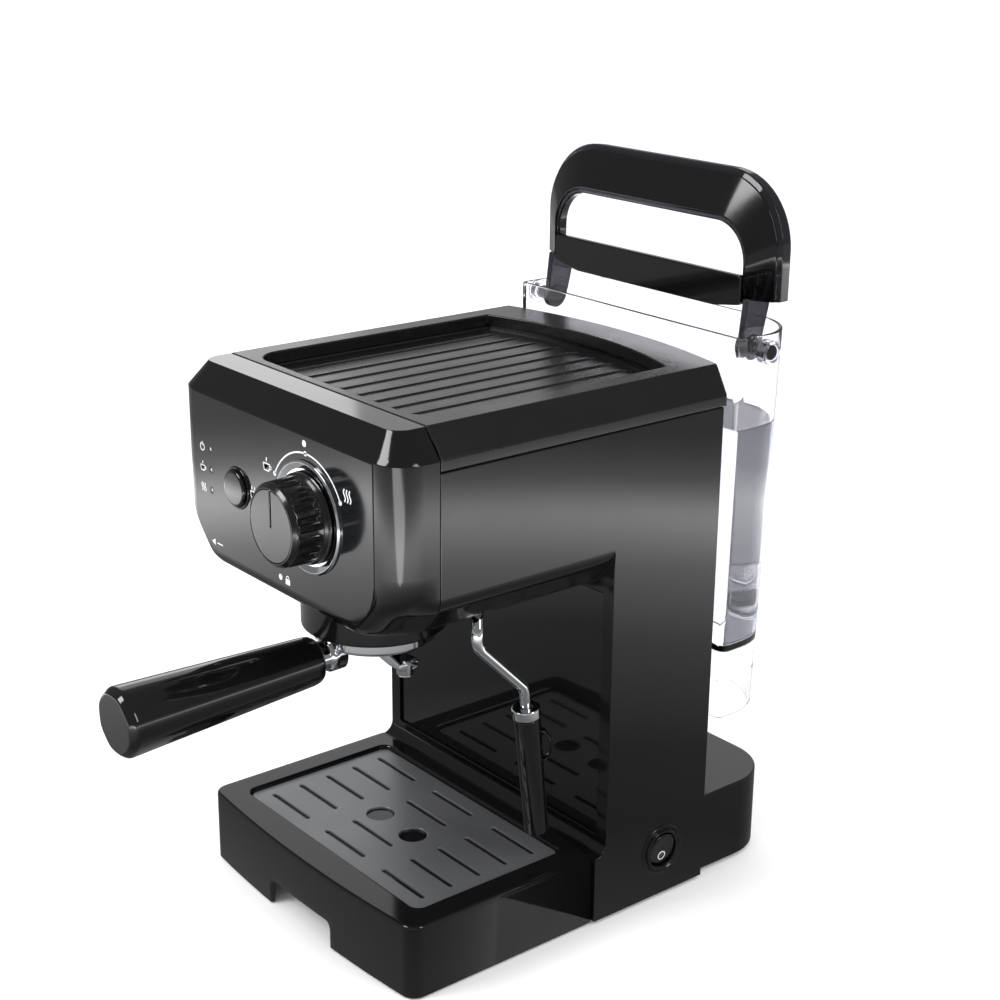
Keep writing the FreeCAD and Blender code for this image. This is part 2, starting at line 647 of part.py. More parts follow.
TRAY_FOOT = "0.8"
tray_block = bowed("tray_block", TRAY_FOOT, "tray_high", "tray_wide/2", "tray_back - loose", "-tray_front",
                   "tray_bow", -1)
tray_under = bowed("tray_under", f"{TRAY_FOOT} - 2", "tray_high - wall", "tray_wide/2 - wall",
                   "tray_back - loose - wall", "wall - tray_front", "tray_bow", -1)


def grate_box(name, more, z):
    """A block with the grate's outline, grown by a margin."""
    return prism(name, "XY", z[0], z[1], [
        (f"grate_wide/2 + {more}", f"grate_y - grate_deep/2 - {more}", 5),
        (f"grate_wide/2 + {more}", f"grate_y + grate_deep/2 + {more}", 5),
        (f"-(grate_wide/2 + {more})", f"grate_y + grate_deep/2 + {more}", 5),
        (f"-(grate_wide/2 + {more})", f"grate_y - grate_deep/2 - {more}", 5),
    ])


tray_basin = grate_box("tray_basin", "wall", ("basin_floor", "tray_high"))
tray_hollow = grate_box("tray_hollow", "-wall", ("basin_floor + wall", "tray_high + 5"))
grate_pocket = grate_box("grate_pocket", "loose", ("grate_high - grate_thick - loose", "tray_high + 5"))
tray_tunnel = box("tray_tunnel", ("-64", "64"), ("tray_back - 8", "tray_back + 5"),
                  (f"{TRAY_FOOT} - 2", "12"))
tray_notch = prism("tray_notch", "XZ", "-tray_front - 20", "0", [
    ("notch_wide/2", "-5"), ("notch_wide/2", "notch_high", 4), ("-notch_wide/2", "notch_high", 4),
    ("-notch_wide/2", "-5"),
])
drip_tray = node(cut("DripTray", cut("tray_shape", tray_block, cut("tray_cavity", tray_under, tray_basin)),
                     tray_hollow, grate_pocket, tray_tunnel, tray_notch), "drip_tray")


def slot(name, column, row):
    """One slot of the grate, with round ends."""
    middle = f"{column} * slot_step_x"
    depth = f"grate_y + {row} * slot_step_y"
    straight = "(slot_long / 2 - slot_wide / 2)"
    low, tall = "grate_high - grate_thick - 3", "grate_thick + 6"
    return [
        box(f"{name}_bar", (f"{middle} - {straight}", f"{middle} + {straight}"),
            (f"{depth} - slot_wide / 2", f"{depth} + slot_wide / 2"), (low, "grate_high + 3")),
        rod(f"{name}_left", "Z", (f"{middle} - {straight}", depth, low), "slot_wide / 2", tall),
        rod(f"{name}_right", "Z", (f"{middle} + {straight}", depth, low), "slot_wide / 2", tall),
    ]


slots = []
for column_step in (-1, 0, 1):
    for row_step in (-2, -1, 0, 1, 2):
        if (column_step, row_step) != (0, 0):
            slots += slot(f"slot_{column_step + 2}{row_step + 3}", column_step, row_step)
cup_holes = [rod(f"cup_hole_{i}", "Z", (x, "grate_y - 2", "grate_high - 5"), "cup_hole_r", "10")
             for i, x in enumerate(("-cup_hole_x", "cup_hole_x"))]
grate_sheet = grate_box("grate_sheet", "0", ("grate_high - grate_thick", "grate_high"))
drip_grate = node(cut("DripGrate", grate_sheet, *slots, *cup_holes), "drip_grate")

# ---------------------------------------------------------------------------------------------
# Controls
# ---------------------------------------------------------------------------------------------
FACE = "-head_front - 0.1"
knob_ring = node(ring("KnobRing", "Y", ("knob_x", f"{FACE} - 1.5", "dial_high"), "ring_r",
                      "spindle_r + 0.6", "1.4"), "knob_ring")
knob_cap = rod("knob_cap", "Y", ("knob_x", "-head_front - knob_out", "dial_high"), "knob_r", "knob_out - 3")
knob_skirt = rod("knob_skirt", "Y", ("knob_x", "-head_front - 4.2", "dial_high"), "knob_skirt_r", "2")
FLUTES = 24


def flute(i):
    """One groove in the knob's side."""
    turn = f"{i} * 360 / {FLUTES}"
    start = (f"knob_x + (knob_r + 1.1) * sin({turn})", "-head_front - knob_out - 1",
             f"dial_high + (knob_r + 1.1) * cos({turn})")
    return rod(f"flute_{i}", "Y", start, "1.8", "knob_out - 4")


knob_mark = box("knob_mark", ("knob_x - 0.9", "knob_x + 0.9"),
                ("-head_front - knob_out - 1", "-head_front - knob_out + 0.8"),
                ("dial_high + knob_r / 2", "dial_high + knob_r + 1"))
stem_socket = rod("stem_socket", "Y", ("knob_x", "-head_front - 14", "dial_high"), "spindle_r + 0.02", "20")
selector_knob = node(cut("SelectorKnob", fuse("knob_shape", knob_cap, knob_skirt),
                         *[flute(i) for i in range(FLUTES)], knob_mark, stem_socket), "selector_knob")
valve_stem = node(rod("ValveStem", "Y", ("knob_x", "-head_front - 13.9", "dial_high"), "spindle_r", "37"),
                  "valve_stem")
valve_block = box("valve_block", ("knob_x - 12", "knob_x + 12"), ("-14", "group_y - 26"),
                  ("dial_high - 11", "dial_high + 11"))
valve_bore = rod("valve_bore", "Y", ("knob_x", "-20", "dial_high"), "spindle_r + turning", "22")
steam_valve = node(cut("SteamValve", valve_block, valve_bore), "steam_valve")

BUTTON_FACE = "-head_front - button_out"
button_rod = rod("button_rod", "Y", ("button_x", BUTTON_FACE, "button_high"), "button_r", "button_out + 6")
brew_button = node(rounded("BrewButton", button_rod, "1",
                           lambda e: e.BoundBox.YMax < number(place_y(BUTTON_FACE)) + 0.1
                           and e.BoundBox.XLength > 5), "brew_button")
button_bezel = node(ring("ButtonBezel", "Y", ("button_x", "-head_front - 1", "button_high"), "button_r + 1.4",
                         "button_r + loose", "4"), "button_bezel")
micro_switch = node(box("MicroSwitch", ("button_x - 10", "button_x + 10"),
                        ("6.5 + button_travel - head_front", "14.5 + button_travel - head_front"),
                        ("button_high - 5", "button_high + 5")), "micro_switch")
lamp_lenses = node(group("LampLenses", *lamp_rods("lamp", "lamp_r", f"{FACE} - 0.5", "5")), "lamp_lenses")
control_board = node(box("ControlBoard", ("lamp_x - 9", "lamp_x + 13"), ("-18.6", "-17"),
                         ("dial_high - 19", "dial_high + 22")), "control_board")

SWITCH_FACE = f"{HALF} + 0.2"
switch_rim = ring("switch_rim", "X", (SWITCH_FACE, "switch_y", "switch_high"), "switch_r",
                  "rocker_r + 0.6", "1.2")
switch_body = cut("switch_body", rod("switch_case", "X", (f"{HALF} - 18", "switch_y", "switch_high"),
                                     "switch_r - 1.2", "18.3"),
                  rod("switch_well", "X", (f"{HALF} - 4", "switch_y", "switch_high"), "rocker_r + 0.6", "10"))
switch_housing = node(fuse("SwitchHousing", switch_rim, switch_body), "switch_housing")
rocker = doc.addObject("Part::Cylinder", "PowerRocker")
rocker.Placement.Rotation = Rotation(Vector(0, 1, 0), 98)
bind(rocker, Radius="rocker_r", Height="3.2", Placement_Rotation_Angle="90 + rocker_tilt")
at(rocker, f"{HALF} - 1 - 1.2 * cos(rocker_tilt)", "switch_y", "switch_high + 1.2 * sin(rocker_tilt)")
power_rocker = node(rocker, "power_rocker")

# ---------------------------------------------------------------------------------------------
# Brew group and portafilter
# ---------------------------------------------------------------------------------------------
AXIS = ("0", "group_y", "0")
GROUP_TOP = "boiler_low - loose"
group_cup = turned("group_cup", AXIS, [
    ("group_in_r", "group_low"), ("group_r", "group_low"), ("group_r", "under_high + wall + 1"),
    ("group_r + 6", "under_high + wall + 1"), ("group_r + 6", GROUP_TOP), ("0", GROUP_TOP),
    ("0", "seal_high + seal_thick"), ("group_in_r", "seal_high + seal_thick"),
])
lug_ledge = ring("lug_ledge", "Z", ("0", "group_y", "group_low"), "group_in_r + 0.5", "bowl_r - 0.6", "2")


def fan(name, low, high, direction, spread, reach):
    """A wedge of a disc about the group's axis, between two heights."""
    left, right = f"({direction} + {spread})", f"({direction} - {spread})"
    return prism(name, "XY", low, high, [
        ("0", "group_y"), (f"{reach} * cos({right})", f"group_y + {reach} * sin({right})"),
        (f"{reach} * cos({left})", f"group_y + {reach} * sin({left})"),
    ])


ledge_gaps = [fan(f"ledge_gap_{i}", "group_low - 1", "group_low + 3", turn, 25, "group_r")
              for i, turn in enumerate((-43, 137))]
group_head = node(fuse("GroupHead", group_cup, cut("lug_ledges", lug_ledge, *ledge_gaps)), "group_head")
group_seal = node(ring("GroupSeal", "Z", ("0", "group_y", "seal_high"), "group_in_r - 0.1", "bowl_r - 7",
                       "seal_thick - 0.1"), "group_seal")
shower_screen = node(rod("ShowerScreen", "Z", ("0", "group_y", "seal_high + seal_thick - 3"),
                         "bowl_r - 7.5", "2.9"), "shower_screen")

BOWL_TOP = "seal_high - loose - 1.6"
bowl = turned("bowl", AXIS, [
    ("0", "bowl_low"), ("bowl_r", "bowl_low"), ("bowl_r", "group_low - loose"),
    ("bowl_r - 1", "group_low - loose"), ("bowl_r - 1", BOWL_TOP), ("bowl_r - 3.5", BOWL_TOP),
    ("bowl_r - 3.5", "bowl_low + 3"), ("0", "bowl_low + 3"),
])
lug_ring = ring("lug_ring", "Z", ("0", "group_y", "group_low + 2 + loose"), "lug_reach", "bowl_r - 3", "4")
lug_fans = [fan(f"lug_fan_{i}", "group_low", "group_low + 12", turn, 17, "group_r * 1.2")
            for i, turn in enumerate((0, 180))]
lugs = common("lugs", lug_ring, fuse("both_lug_fans", *lug_fans))
spout_inlet = rod("spout_inlet", "Z", ("0", "group_y", "bowl_low - 3"), "3", "8")
neck_root = box("neck_root", ("-8", "8"), ("group_y - bowl_r", "group_y - bowl_r + 4"),
                ("bowl_low", "grip_high + 9"))
portafilter_bowl = node(cut("PortafilterBowl", fuse("bowl_shape", bowl, lugs, neck_root), spout_inlet),
                        "portafilter_bowl")
filter_basket = node(turned("FilterBasket", AXIS, [
    ("0", "bowl_low + 5"), ("bowl_r - 5.2", "bowl_low + 5"), ("bowl_r - 4.2", BOWL_TOP + " + 0.05"),
    ("bowl_r - 1", BOWL_TOP + " + 0.05"), ("bowl_r - 1", BOWL_TOP + " + 1.2"),
    ("bowl_r - 5.2", BOWL_TOP + " + 1.2"), ("bowl_r - 6.2", "bowl_low + 6"), ("0", "bowl_low + 6"),
]), "filter_basket")

spout_bracket = prism("spout_bracket", "XZ", "group_y - 6", "group_y + 6", [
    ("12", "bowl_low - 0.1"), ("spout_x + 4", "bowl_low - 5"), ("spout_x + 4", "spout_low + 4"),
    ("spout_x - 6", "spout_low + 4"), ("6", "bowl_low - 6"), ("-6", "bowl_low - 6"),
    ("6 - spout_x", "spout_low + 4"), ("-spout_x - 4", "spout_low + 4"), ("-spout_x - 4", "bowl_low - 5"),
    ("-12", "bowl_low - 0.1"),
])
spout_pipes = [rod(f"spout_pipe_{i}", "Z", (x, "group_y", "spout_low"), "spout_r", "8")
               for i, x in enumerate(("-spout_x", "spout_x"))]
spout_bores = [rod(f"spout_bore_{i}", "Z", (x, "group_y", "spout_low - 1"), "spout_r - 1.4", "7")
               for i, x in enumerate(("-spout_x", "spout_x"))]
spout_shape = fuse("spout_shape", spout_bracket, *spout_pipes)
portafilter_spout = node(cut("PortafilterSpout", spout_shape, *spout_bores), "portafilter_spout")

grip = doc.addObject("Part::Cone", "grip")
grip.Placement.Rotation = Rotation(Vector(-1, 0, 0), 90)
GRIP_REACH = "(grip_long + group_y - group_r)"
bind(grip, Radius1="grip_r_far", Radius2="grip_r_near", Height=f"{GRIP_REACH} / cos(grip_fall)",
     Placement_Rotation_Angle="90 - grip_fall")
at(grip, "0", "-grip_long", f"grip_high - {GRIP_REACH} * tan(grip_fall)")
rounded_grip = rounded("PortafilterHandle", grip, "2.5",
                       lambda e: e.BoundBox.XLength > 2 * number("grip_r_far") - 0.5)
portafilter_handle = node(rounded_grip, "portafilter_handle")
ferrule = node(rod("Ferrule", "Y", ("0", "group_y - group_r + 0.5", "grip_high"), "grip_r_near - 1.2",
                   "group_r - bowl_r - 0.6"), "portafilter_ferrule")

# ---------------------------------------------------------------------------------------------
# Steam wand
# ---------------------------------------------------------------------------------------------
KNEE = ("wand_x", "wand_y + wand_reach", "wand_knee_high")


def down_wand(distance):
    """The point on the wand's lower part at a distance below its lower bend."""
    return (KNEE[0], f"{KNEE[1]} + ({distance}) * sin(wand_lean)",
            f"{KNEE[2]} - ({distance}) * cos(wand_lean)")


def along_wand(thing, distance):
    """Stands a cylinder or cone on the wand's lower part, pointing up along it."""
    thing.Placement.Rotation = Rotation(Vector(1, 0, 0), number("wand_lean"))
    bind(thing, Placement_Rotation_Angle="wand_lean")
    return at(thing, *down_wand(distance))


def wand_rod(name, distance, radius, length, end_radius=None):
    """A cylinder or cone on the wand's lower part, its lower end at a distance below the bend."""
    if end_radius is None:
        return along_wand(rod(name, "Z", ("0", "0", "0"), radius, length), distance)
    return along_wand(cone(name, "Z", ("0", "0", "0"), radius, end_radius, length), distance)


steam_pipe = node(bent_tube("SteamPipe", [
    ("wand_x", "wand_y", "under_high + 14"), ("wand_x", "wand_y", "wand_bend_high"), KNEE,
    down_wand("wand_long"),
], "9", "wand_r", "wand_r - 1"), "steam_pipe")
sleeve_shape = wand_rod("sleeve_shape", "sleeve_start + sleeve_long", "sleeve_tip_r",
                        "sleeve_long", "sleeve_r")
sleeve_bore = wand_rod("sleeve_bore", "sleeve_start + sleeve_long + 1", "wand_r + loose", "sleeve_long + 2")
frothing_sleeve = node(cut("FrothingSleeve", sleeve_shape, sleeve_bore), "frothing_sleeve")
collar_shape = wand_rod("collar_shape", "sleeve_start - 0.3", "collar_r", "collar_high")
collar_bore = wand_rod("collar_bore", "sleeve_start + 1", "wand_r + 0.02", "collar_high + 5")
wand_collar = node(cut("WandCollar", collar_shape, collar_bore), "wand_collar")
swivel_plate = box("swivel_plate", ("wand_x - 10", "wand_x + 10"), ("wand_y - 9", "wand_y + 12"),
                   ("under_high + 18", "under_high + 20.5"))
swivel_sleeve = rod("swivel_sleeve", "Z", ("wand_x", "wand_y", "under_high + 5"), "7", "15")
swivel_bore = rod("swivel_bore", "Z", ("wand_x", "wand_y", "under_high"), "wand_r + turning", "30")
swivel_shape = fuse("swivel_shape", swivel_plate, swivel_sleeve)
wand_swivel = node(cut("WandSwivel", swivel_shape, swivel_bore), "wand_swivel")
steam_line = node(bent_tube("SteamLine", [
    ("knob_x + 12.2", "-4", "dial_high"), ("wand_x", "-4", "dial_high"), ("wand_x", "wand_y", "dial_high"),
    ("wand_x", "wand_y", "under_high + 21"),
], "7", "2.5", "1.5"), "steam_line")

# ---------------------------------------------------------------------------------------------
# Works inside the casing
# ---------------------------------------------------------------------------------------------
boiler_can = rod("boiler_can", "Z", ("0", "group_y + 4", "boiler_low"), "boiler_r", "boiler_high")
boiler = node(rounded("Boiler", boiler_can, "4", lambda e: e.BoundBox.XLength > 5), "boiler")
thermostats = node(group("Thermostats", *[
    rod(f"thermostat_{i}", "Z", (x, "group_y + 6", "boiler_low + boiler_high + 0.1"), "8", "6")
    for i, x in enumerate(("-13", "13"))
]), "thermostats")
pump_body = rod("pump_body", "Z", ("pump_x", "pump_y", "60"), "16", "46")
pump_neck = rod("pump_neck", "Z", ("pump_x", "pump_y", "50"), "7", "78")
pump = node(fuse("Pump", pump_body, pump_neck), "pump")
pump_mounts = node(group("PumpMounts", *[
    ring(f"pump_mount_{i}", "Z", ("pump_x", "pump_y", z), "11", "7.1", "5")
    for i, z in enumerate(("53", "108"))
]), "pump_mounts")
suction_hose = node(bent_tube("SuctionHose", [
    ("0", "seat_y", "base_high - wall - 3"), ("0", "seat_y", "25"), ("pump_x", "pump_y", "25"),
    ("pump_x", "pump_y", "49.5"),
], "9", "4", "2.5"), "suction_hose")
pressure_hose = node(bent_tube("PressureHose", [
    ("pump_x", "pump_y", "128.5"), ("pump_x", "pump_y", "215"), ("0", "pump_y - 40", "215"),
    ("0", "group_y + boiler_r + 5", "215"),
], "9", "3", "1.8"), "pressure_hose")
terminal_block = node(box("TerminalBlock", ("-62", "-34"), ("130", "146"), (FLOOR[1] + " + 0.1", "18")),
                      "terminal_block")
screws = node(group("PanelScrews", *[
    rod(f"screw_{i}", "Y", (x, "body_back", z), "3", "1.6")
    for i, (x, z) in enumerate([("-78", "60"), ("78", "60"), ("-78", "245"), ("78", "245")])
]), "panel_screws")

# ---------------------------------------------------------------------------------------------
# Water tank and its handle
# ---------------------------------------------------------------------------------------------
TANK_FOOT = "base_high + tank_raise"
RIM = f"({TANK_FOOT} + tank_high)"


def tank_outline(share, less):
    """The tank's outline at a share of its height, shrunk by a margin."""
    half = f"(tank_wide/2 - tank_taper * (1 - {share}) - {less})"
    back = f"tank_back - tank_back_taper * (1 - {share}) - {less}"
    return [(half, f"tank_front + {less}"), (half, back, f"tank_round - {less}"),
            (f"-{half}", back, f"tank_round - {less}"), (f"-{half}", f"tank_front + {less}")]


tank_outside = loft("tank_outside", [(TANK_FOOT, tank_outline(0, 0)), (RIM, tank_outline(1, 0))])
tank_inside = loft("tank_inside", [
    (f"{TANK_FOOT} + tank_skirt + tank_wall", tank_outline("0.18", "tank_wall")),
    (f"{RIM} + 2", tank_outline(1, "tank_wall")),
])
tank_under = loft("tank_under", [(f"{TANK_FOOT} - 2", tank_outline(0, "tank_wall")),
                                 (f"{TANK_FOOT} + tank_skirt", tank_outline("0.18", "tank_wall"))])
valve_tube = rod("valve_tube", "Z", ("0", "seat_y", f"{TANK_FOOT} + 18"), "seat_r - 1", "tank_skirt - 17")
valve_hole = rod("valve_hole", "Z", ("0", "seat_y", f"{TANK_FOOT} + 10"), "seat_r - 3", "tank_skirt")
PIVOT_HIGH = f"({RIM} - pivot_down)"
bosses = [rod(f"boss_{i}", "X", (x, "pivot_y", PIVOT_HIGH), "boss_r", "boss_out + 1.5")
          for i, x in enumerate(("tank_wide/2 - 1.5", "-tank_wide/2 - boss_out"))]
boss_bores = [rod(f"boss_bore_{i}", "X", (x, "pivot_y", PIVOT_HIGH), "pin_r + turning", "20")
              for i, x in enumerate(("tank_wide/2 - 8", "8 - tank_wide/2 - 20"))]
tank_shell = cut("tank_shell", tank_outside, tank_inside, tank_under)
tank_shape = fuse("tank_shape", tank_shell, valve_tube, *bosses)
tank_vessel = node(cut("TankVessel", tank_shape, valve_hole, *boss_bores), "tank_vessel")
plunger = fuse("plunger",
               rod("plunger_rod", "Z", ("0", "seat_y", f"{TANK_FOOT} + 20"), "1.6", "tank_skirt - 13"),
               rod("plunger_cap", "Z", ("0", "seat_y", f"{TANK_FOOT} + tank_skirt + tank_wall + loose"),
                   "seat_r", "3"))
valve_plunger = node(plunger, "valve_plunger")


def arch_outline(share):
    """The arch's outline from its inner edge (0) to its outer edge (1), above the pivot."""
    half = f"(arch_wide/2 - arch_band * (1 - {share}))"
    top = f"{PIVOT_HIGH} + arch_high - arch_top_band * (1 - {share})"
    low = f"{PIVOT_HIGH} + arch_start"
    bend = f"arch_round - arch_band * (1 - {share})"
    return [(half, low), (half, top, bend), (f"-{half}", top, bend), (f"-{half}", low)]


def arch_loft(name, sections):
    """A straight-sided solid between arch outlines at (depth, share, lowering)."""
    body = doc.addObject("Part::Loft", name)
    body.Sections = [
        outline(f"{name}_{i}", "XZ", y, [(c[0], c[1] if k in (1, 2) else f"{c[1]} - {drop}", *c[2:])
                                         for k, c in enumerate(arch_outline(share))])
        for i, (y, share, drop) in enumerate(sections)
    ]
    body.Solid = True
    body.Ruled = True
    return body


arch_solid = arch_loft("arch_solid", [("arch_front", "0.05", 0), ("arch_front + arch_slant", "1", 0),
                                      ("arch_front + arch_slant + arch_thick", "1", 0)])
arch_hole = arch_loft("arch_hole", [("arch_front - 2", "0", 5), ("arch_front + arch_thick", "0", 5),
                                    ("arch_front + arch_slant + arch_thick + 0.5", "0.98", 5)])
arch = cut("arch", arch_solid, arch_hole)
bridge = box("bridge", ("arch_band - arch_wide/2 - 1", "arch_wide/2 - arch_band + 1"),
             ("arch_front + 0.5", "arch_front + 4.5"),
             (f"{PIVOT_HIGH} + arch_start - 6", f"{PIVOT_HIGH} + arch_start - 6 + bridge_high"))
LEG_OUT = "(tank_wide/2 - tank_wall - leg_gap)"
leg_plate = prism("leg_plate", "YZ", f"{LEG_OUT} - leg_thick", LEG_OUT, [
    ("pivot_y - 7", PIVOT_HIGH), ("pivot_y + 7", PIVOT_HIGH),
    ("arch_front + arch_slant + arch_thick - 2", f"{PIVOT_HIGH} + arch_start + 1"),
    ("arch_front + 1", f"{PIVOT_HIGH} + arch_start + 1"),
])
leg_eye = rod("leg_eye", "X", (f"{LEG_OUT} - leg_thick", "pivot_y", PIVOT_HIGH), "pin_r + 3", "leg_thick")
leg_pin = rod("leg_pin", "X", (f"{LEG_OUT} - 1", "pivot_y", PIVOT_HIGH), "pin_r",
              f"tank_wide/2 + boss_out - {LEG_OUT}")
leg = fuse("leg", leg_plate, leg_eye, leg_pin)
tank_handle = node(fuse("TankHandle", arch, bridge, leg, mirror_x("other_leg", leg)), "tank_handle")


# ---------------------------------------------------------------------------------------------
# Checks and export
# ---------------------------------------------------------------------------------------------
doc.recompute()
for thing in doc.Objects:
    if "Invalid" in thing.State or "Error" in thing.State:
        raise RuntimeError(f"{thing.Name} did not compute: {thing.State}")
for thing in NODES:
    if thing.Shape.isNull() or not thing.Shape.isValid() or not thing.Shape.Solids:
        raise RuntimeError(f"{thing.Label} has no valid solid")

os.makedirs("parts", exist_ok=True)
for thing in NODES:
    thing.Shape.exportStep(f"parts/{thing.Label}.step")
print(len(NODES), "nodes")
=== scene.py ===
import math
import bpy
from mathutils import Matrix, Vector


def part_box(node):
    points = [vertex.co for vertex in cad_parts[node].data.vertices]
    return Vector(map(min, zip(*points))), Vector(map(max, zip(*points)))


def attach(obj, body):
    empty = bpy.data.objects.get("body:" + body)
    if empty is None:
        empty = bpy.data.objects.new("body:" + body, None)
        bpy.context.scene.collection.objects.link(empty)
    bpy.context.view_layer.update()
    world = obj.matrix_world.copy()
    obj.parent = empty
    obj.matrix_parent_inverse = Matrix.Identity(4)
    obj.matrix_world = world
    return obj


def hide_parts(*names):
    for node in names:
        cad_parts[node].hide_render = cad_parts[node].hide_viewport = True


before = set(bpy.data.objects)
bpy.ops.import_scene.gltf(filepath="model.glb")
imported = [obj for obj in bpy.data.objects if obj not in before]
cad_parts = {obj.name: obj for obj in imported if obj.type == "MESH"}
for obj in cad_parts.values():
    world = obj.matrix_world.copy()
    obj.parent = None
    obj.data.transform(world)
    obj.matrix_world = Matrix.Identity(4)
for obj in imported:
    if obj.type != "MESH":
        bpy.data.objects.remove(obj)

from types import SimpleNamespace

import bpy
import numpy as np
from bpy.props import FloatProperty, FloatVectorProperty, PointerProperty
from mathutils import Matrix, Vector
from mathutils.geometry import tessellate_polygon

bl_info = {
    "name": "Espresso machine",
    "version": (1, 0, 0),
    "blender": (4, 5, 0),
    "location": "View3D > Sidebar > Espresso",
    "description": "Builds the visual model of an espresso machine over its CAD frame",
    "category": "Object",
}

# Points are worked out in millimetres, with depths counted from the seam between the front cover
# and the side shell.  SEAM is that seam's depth in the frame, in metres.
MM = 0.001
COVER_GAP = 0.0002
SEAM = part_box("front_cover")[1][1] + COVER_GAP

# Places that several pieces share.
HEAD_LOW = 181.0  # underside of the head
PANEL_FACE = -25.7  # front of the control panel
LAMP_STEP = 10.6  # from one lamp to the next
GRATE_Y = 43.0  # middle of the drip grate

RIGHT, BACK, AHEAD, UP, DOWN = (1, 0, 0), (0, 1, 0), (0, -1, 0), (0, 0, 1), (0, 0, -1)


# ---------------------------------------------------------------------------------------------
# Outlines
# ---------------------------------------------------------------------------------------------
def rounded(corners, steps=6, closed=True):
    """Points round a polygon of (across, up, radius) corners: each corner becomes an arc tangent to
    both of its edges, drawn with steps + 1 points, and the edges between arcs stay straight."""
    c = np.array([(*p, 0.02) if len(p) == 2 else p for p in corners], float)
    p, r = c[:, :2], np.maximum(c[:, 2], 0.02)
    back = np.roll(p, 1, 0) - p
    ahead = np.roll(p, -1, 0) - p
    back /= np.linalg.norm(back, axis=1)[:, None]
    ahead /= np.linalg.norm(ahead, axis=1)[:, None]
    turn = np.arctan2(ahead[:, 1] * -back[:, 0] + ahead[:, 0] * back[:, 1], -(ahead * back).sum(1))
    start = p + back * (r * np.tan(np.abs(turn) / 2))[:, None]
    side = np.sign(turn)[:, None] * np.stack([back[:, 1], -back[:, 0]], 1)
    centre = start + side * r[:, None]
    first = np.arctan2(-side[:, 1], -side[:, 0])
    angle = first[:, None] + turn[:, None] * np.linspace(0, 1, steps + 1)
    arcs = centre[:, None] + r[:, None, None] * np.stack([np.cos(angle), np.sin(angle)], -1)
    if not closed:
        arcs[0], arcs[-1] = p[0], p[-1]
        return np.concatenate([arcs[0, :1], *arcs[1:-1], arcs[-1, -1:]])
    return arcs.reshape(-1, 2)


def shrunk(corners, inset):
    """The corners of the same polygon with every edge moved inwards by inset, and each corner's arc
    kept about the same centre.  The corners run counterclockwise."""
    c = np.array([(*p, 0.02) if len(p) == 2 else p for p in corners], float)
    p = c[:, :2]
    edge = np.roll(p, -1, 0) - p
    edge /= np.linalg.norm(edge, axis=1)[:, None]
    normal = np.stack([-edge[:, 1], edge[:, 0]], 1)
    before = np.roll(normal, 1, 0)
    moved = p + inset * (normal + before) / (1 + (normal * before).sum(1))[:, None]
    last = np.roll(edge, 1, 0)
    convex = np.sign(last[:, 0] * edge[:, 1] - last[:, 1] * edge[:, 0])
    return np.column_stack([moved, np.maximum(c[:, 2] - convex * inset, 0.02)])


def soft_edge(low, high, low_round, high_round, steps=4):
    """(inset, height) pairs up a wall whose two edges are quarter circles of the given radii."""
    t = np.linspace(0, np.pi / 2, steps + 1)
    under = np.column_stack([low_round * (1 - np.sin(t)), low + low_round * (1 - np.cos(t))])
    over = np.column_stack([high_round * (1 - np.cos(t)), high - high_round * (1 - np.sin(t))])
    return np.concatenate([under, over])


def circle(x, y, radius):
    """Corners of a circle for rounded(): a square whose corners are as round as they can be."""
    return [(x + i * radius, y + j * radius, radius * 0.995) for i, j in ((1, 1), (-1, 1), (-1, -1), (1, -1))]


def rectangle(x, y, half_x, half_y, front_round, back_round=None):
    """Corners of a rectangle about (x, y), counterclockwise from the front right."""
    far = front_round if back_round is None else back_round
    return [(x + half_x, y - half_y, front_round), (x + half_x, y + half_y, far),
            (x - half_x, y + half_y, far), (x - half_x, y - half_y, front_round)]


def level(outline, height):
    """An outline of (x, y) points laid flat at a height."""
    return np.column_stack([outline, np.full(len(outline), height)])


def bow(x, edge, height, half):
    """Depth of an edge that lies at depth edge at x = half either side and bows out by height: an
    arc of a circle of radius (half squared + height squared) / (2 height)."""
    reach = (half ** 2 + height ** 2) / (2 * abs(height))
    return edge + math.copysign(1, height) * (np.sqrt(reach ** 2 - np.asarray(x) ** 2) - reach + abs(height))


def subdivided(line, step):
    """The same line with more points on it, so that no two are further apart than step."""
    run = np.concatenate([[0.0], np.cumsum(np.linalg.norm(np.diff(line, axis=0), axis=1))])
    spots = np.unique(np.concatenate([run, np.arange(0, run[-1], step)]).round(4))
    return np.column_stack([np.interp(spots, run, line[:, 0]), np.interp(spots, run, line[:, 1])])


def band(points, width):
    """The corners of a line of that width drawn along points, for thin printed strokes."""
    p = np.array(points, float)
    step = np.gradient(p, axis=0)
    step /= np.linalg.norm(step, axis=1)[:, None]
    side = np.column_stack([step[:, 1], -step[:, 0]]) * width / 2
    return np.concatenate([p + side, (p - side)[::-1]])


# ---------------------------------------------------------------------------------------------
# Surfaces
# ---------------------------------------------------------------------------------------------
def facing(grid, along):
    """Unit normals of a grid (m, n, 3) whose rows close on themselves: the cross product of the
    differences to the neighbours round the row and of those along the rows."""
    around = np.roll(grid, -1, 1) - np.roll(grid, 1, 1)
    normal = np.cross(around, along)
    size = np.linalg.norm(normal, axis=2, keepdims=True)
    return normal / np.where(size > 0, size, 1)


def quads(m, n, both):
    """The faces between m rows of n points that close on themselves, and between the last row and
    the first where the grid closes both ways."""
    i, j = np.meshgrid(np.arange(m if both else m - 1), np.arange(n), indexing="ij")
    k, q = (j + 1) % n, (i + 1) % m
    return np.stack([i * n + j, i * n + k, q * n + k, q * n + j], -1).reshape(-1, 4).tolist()


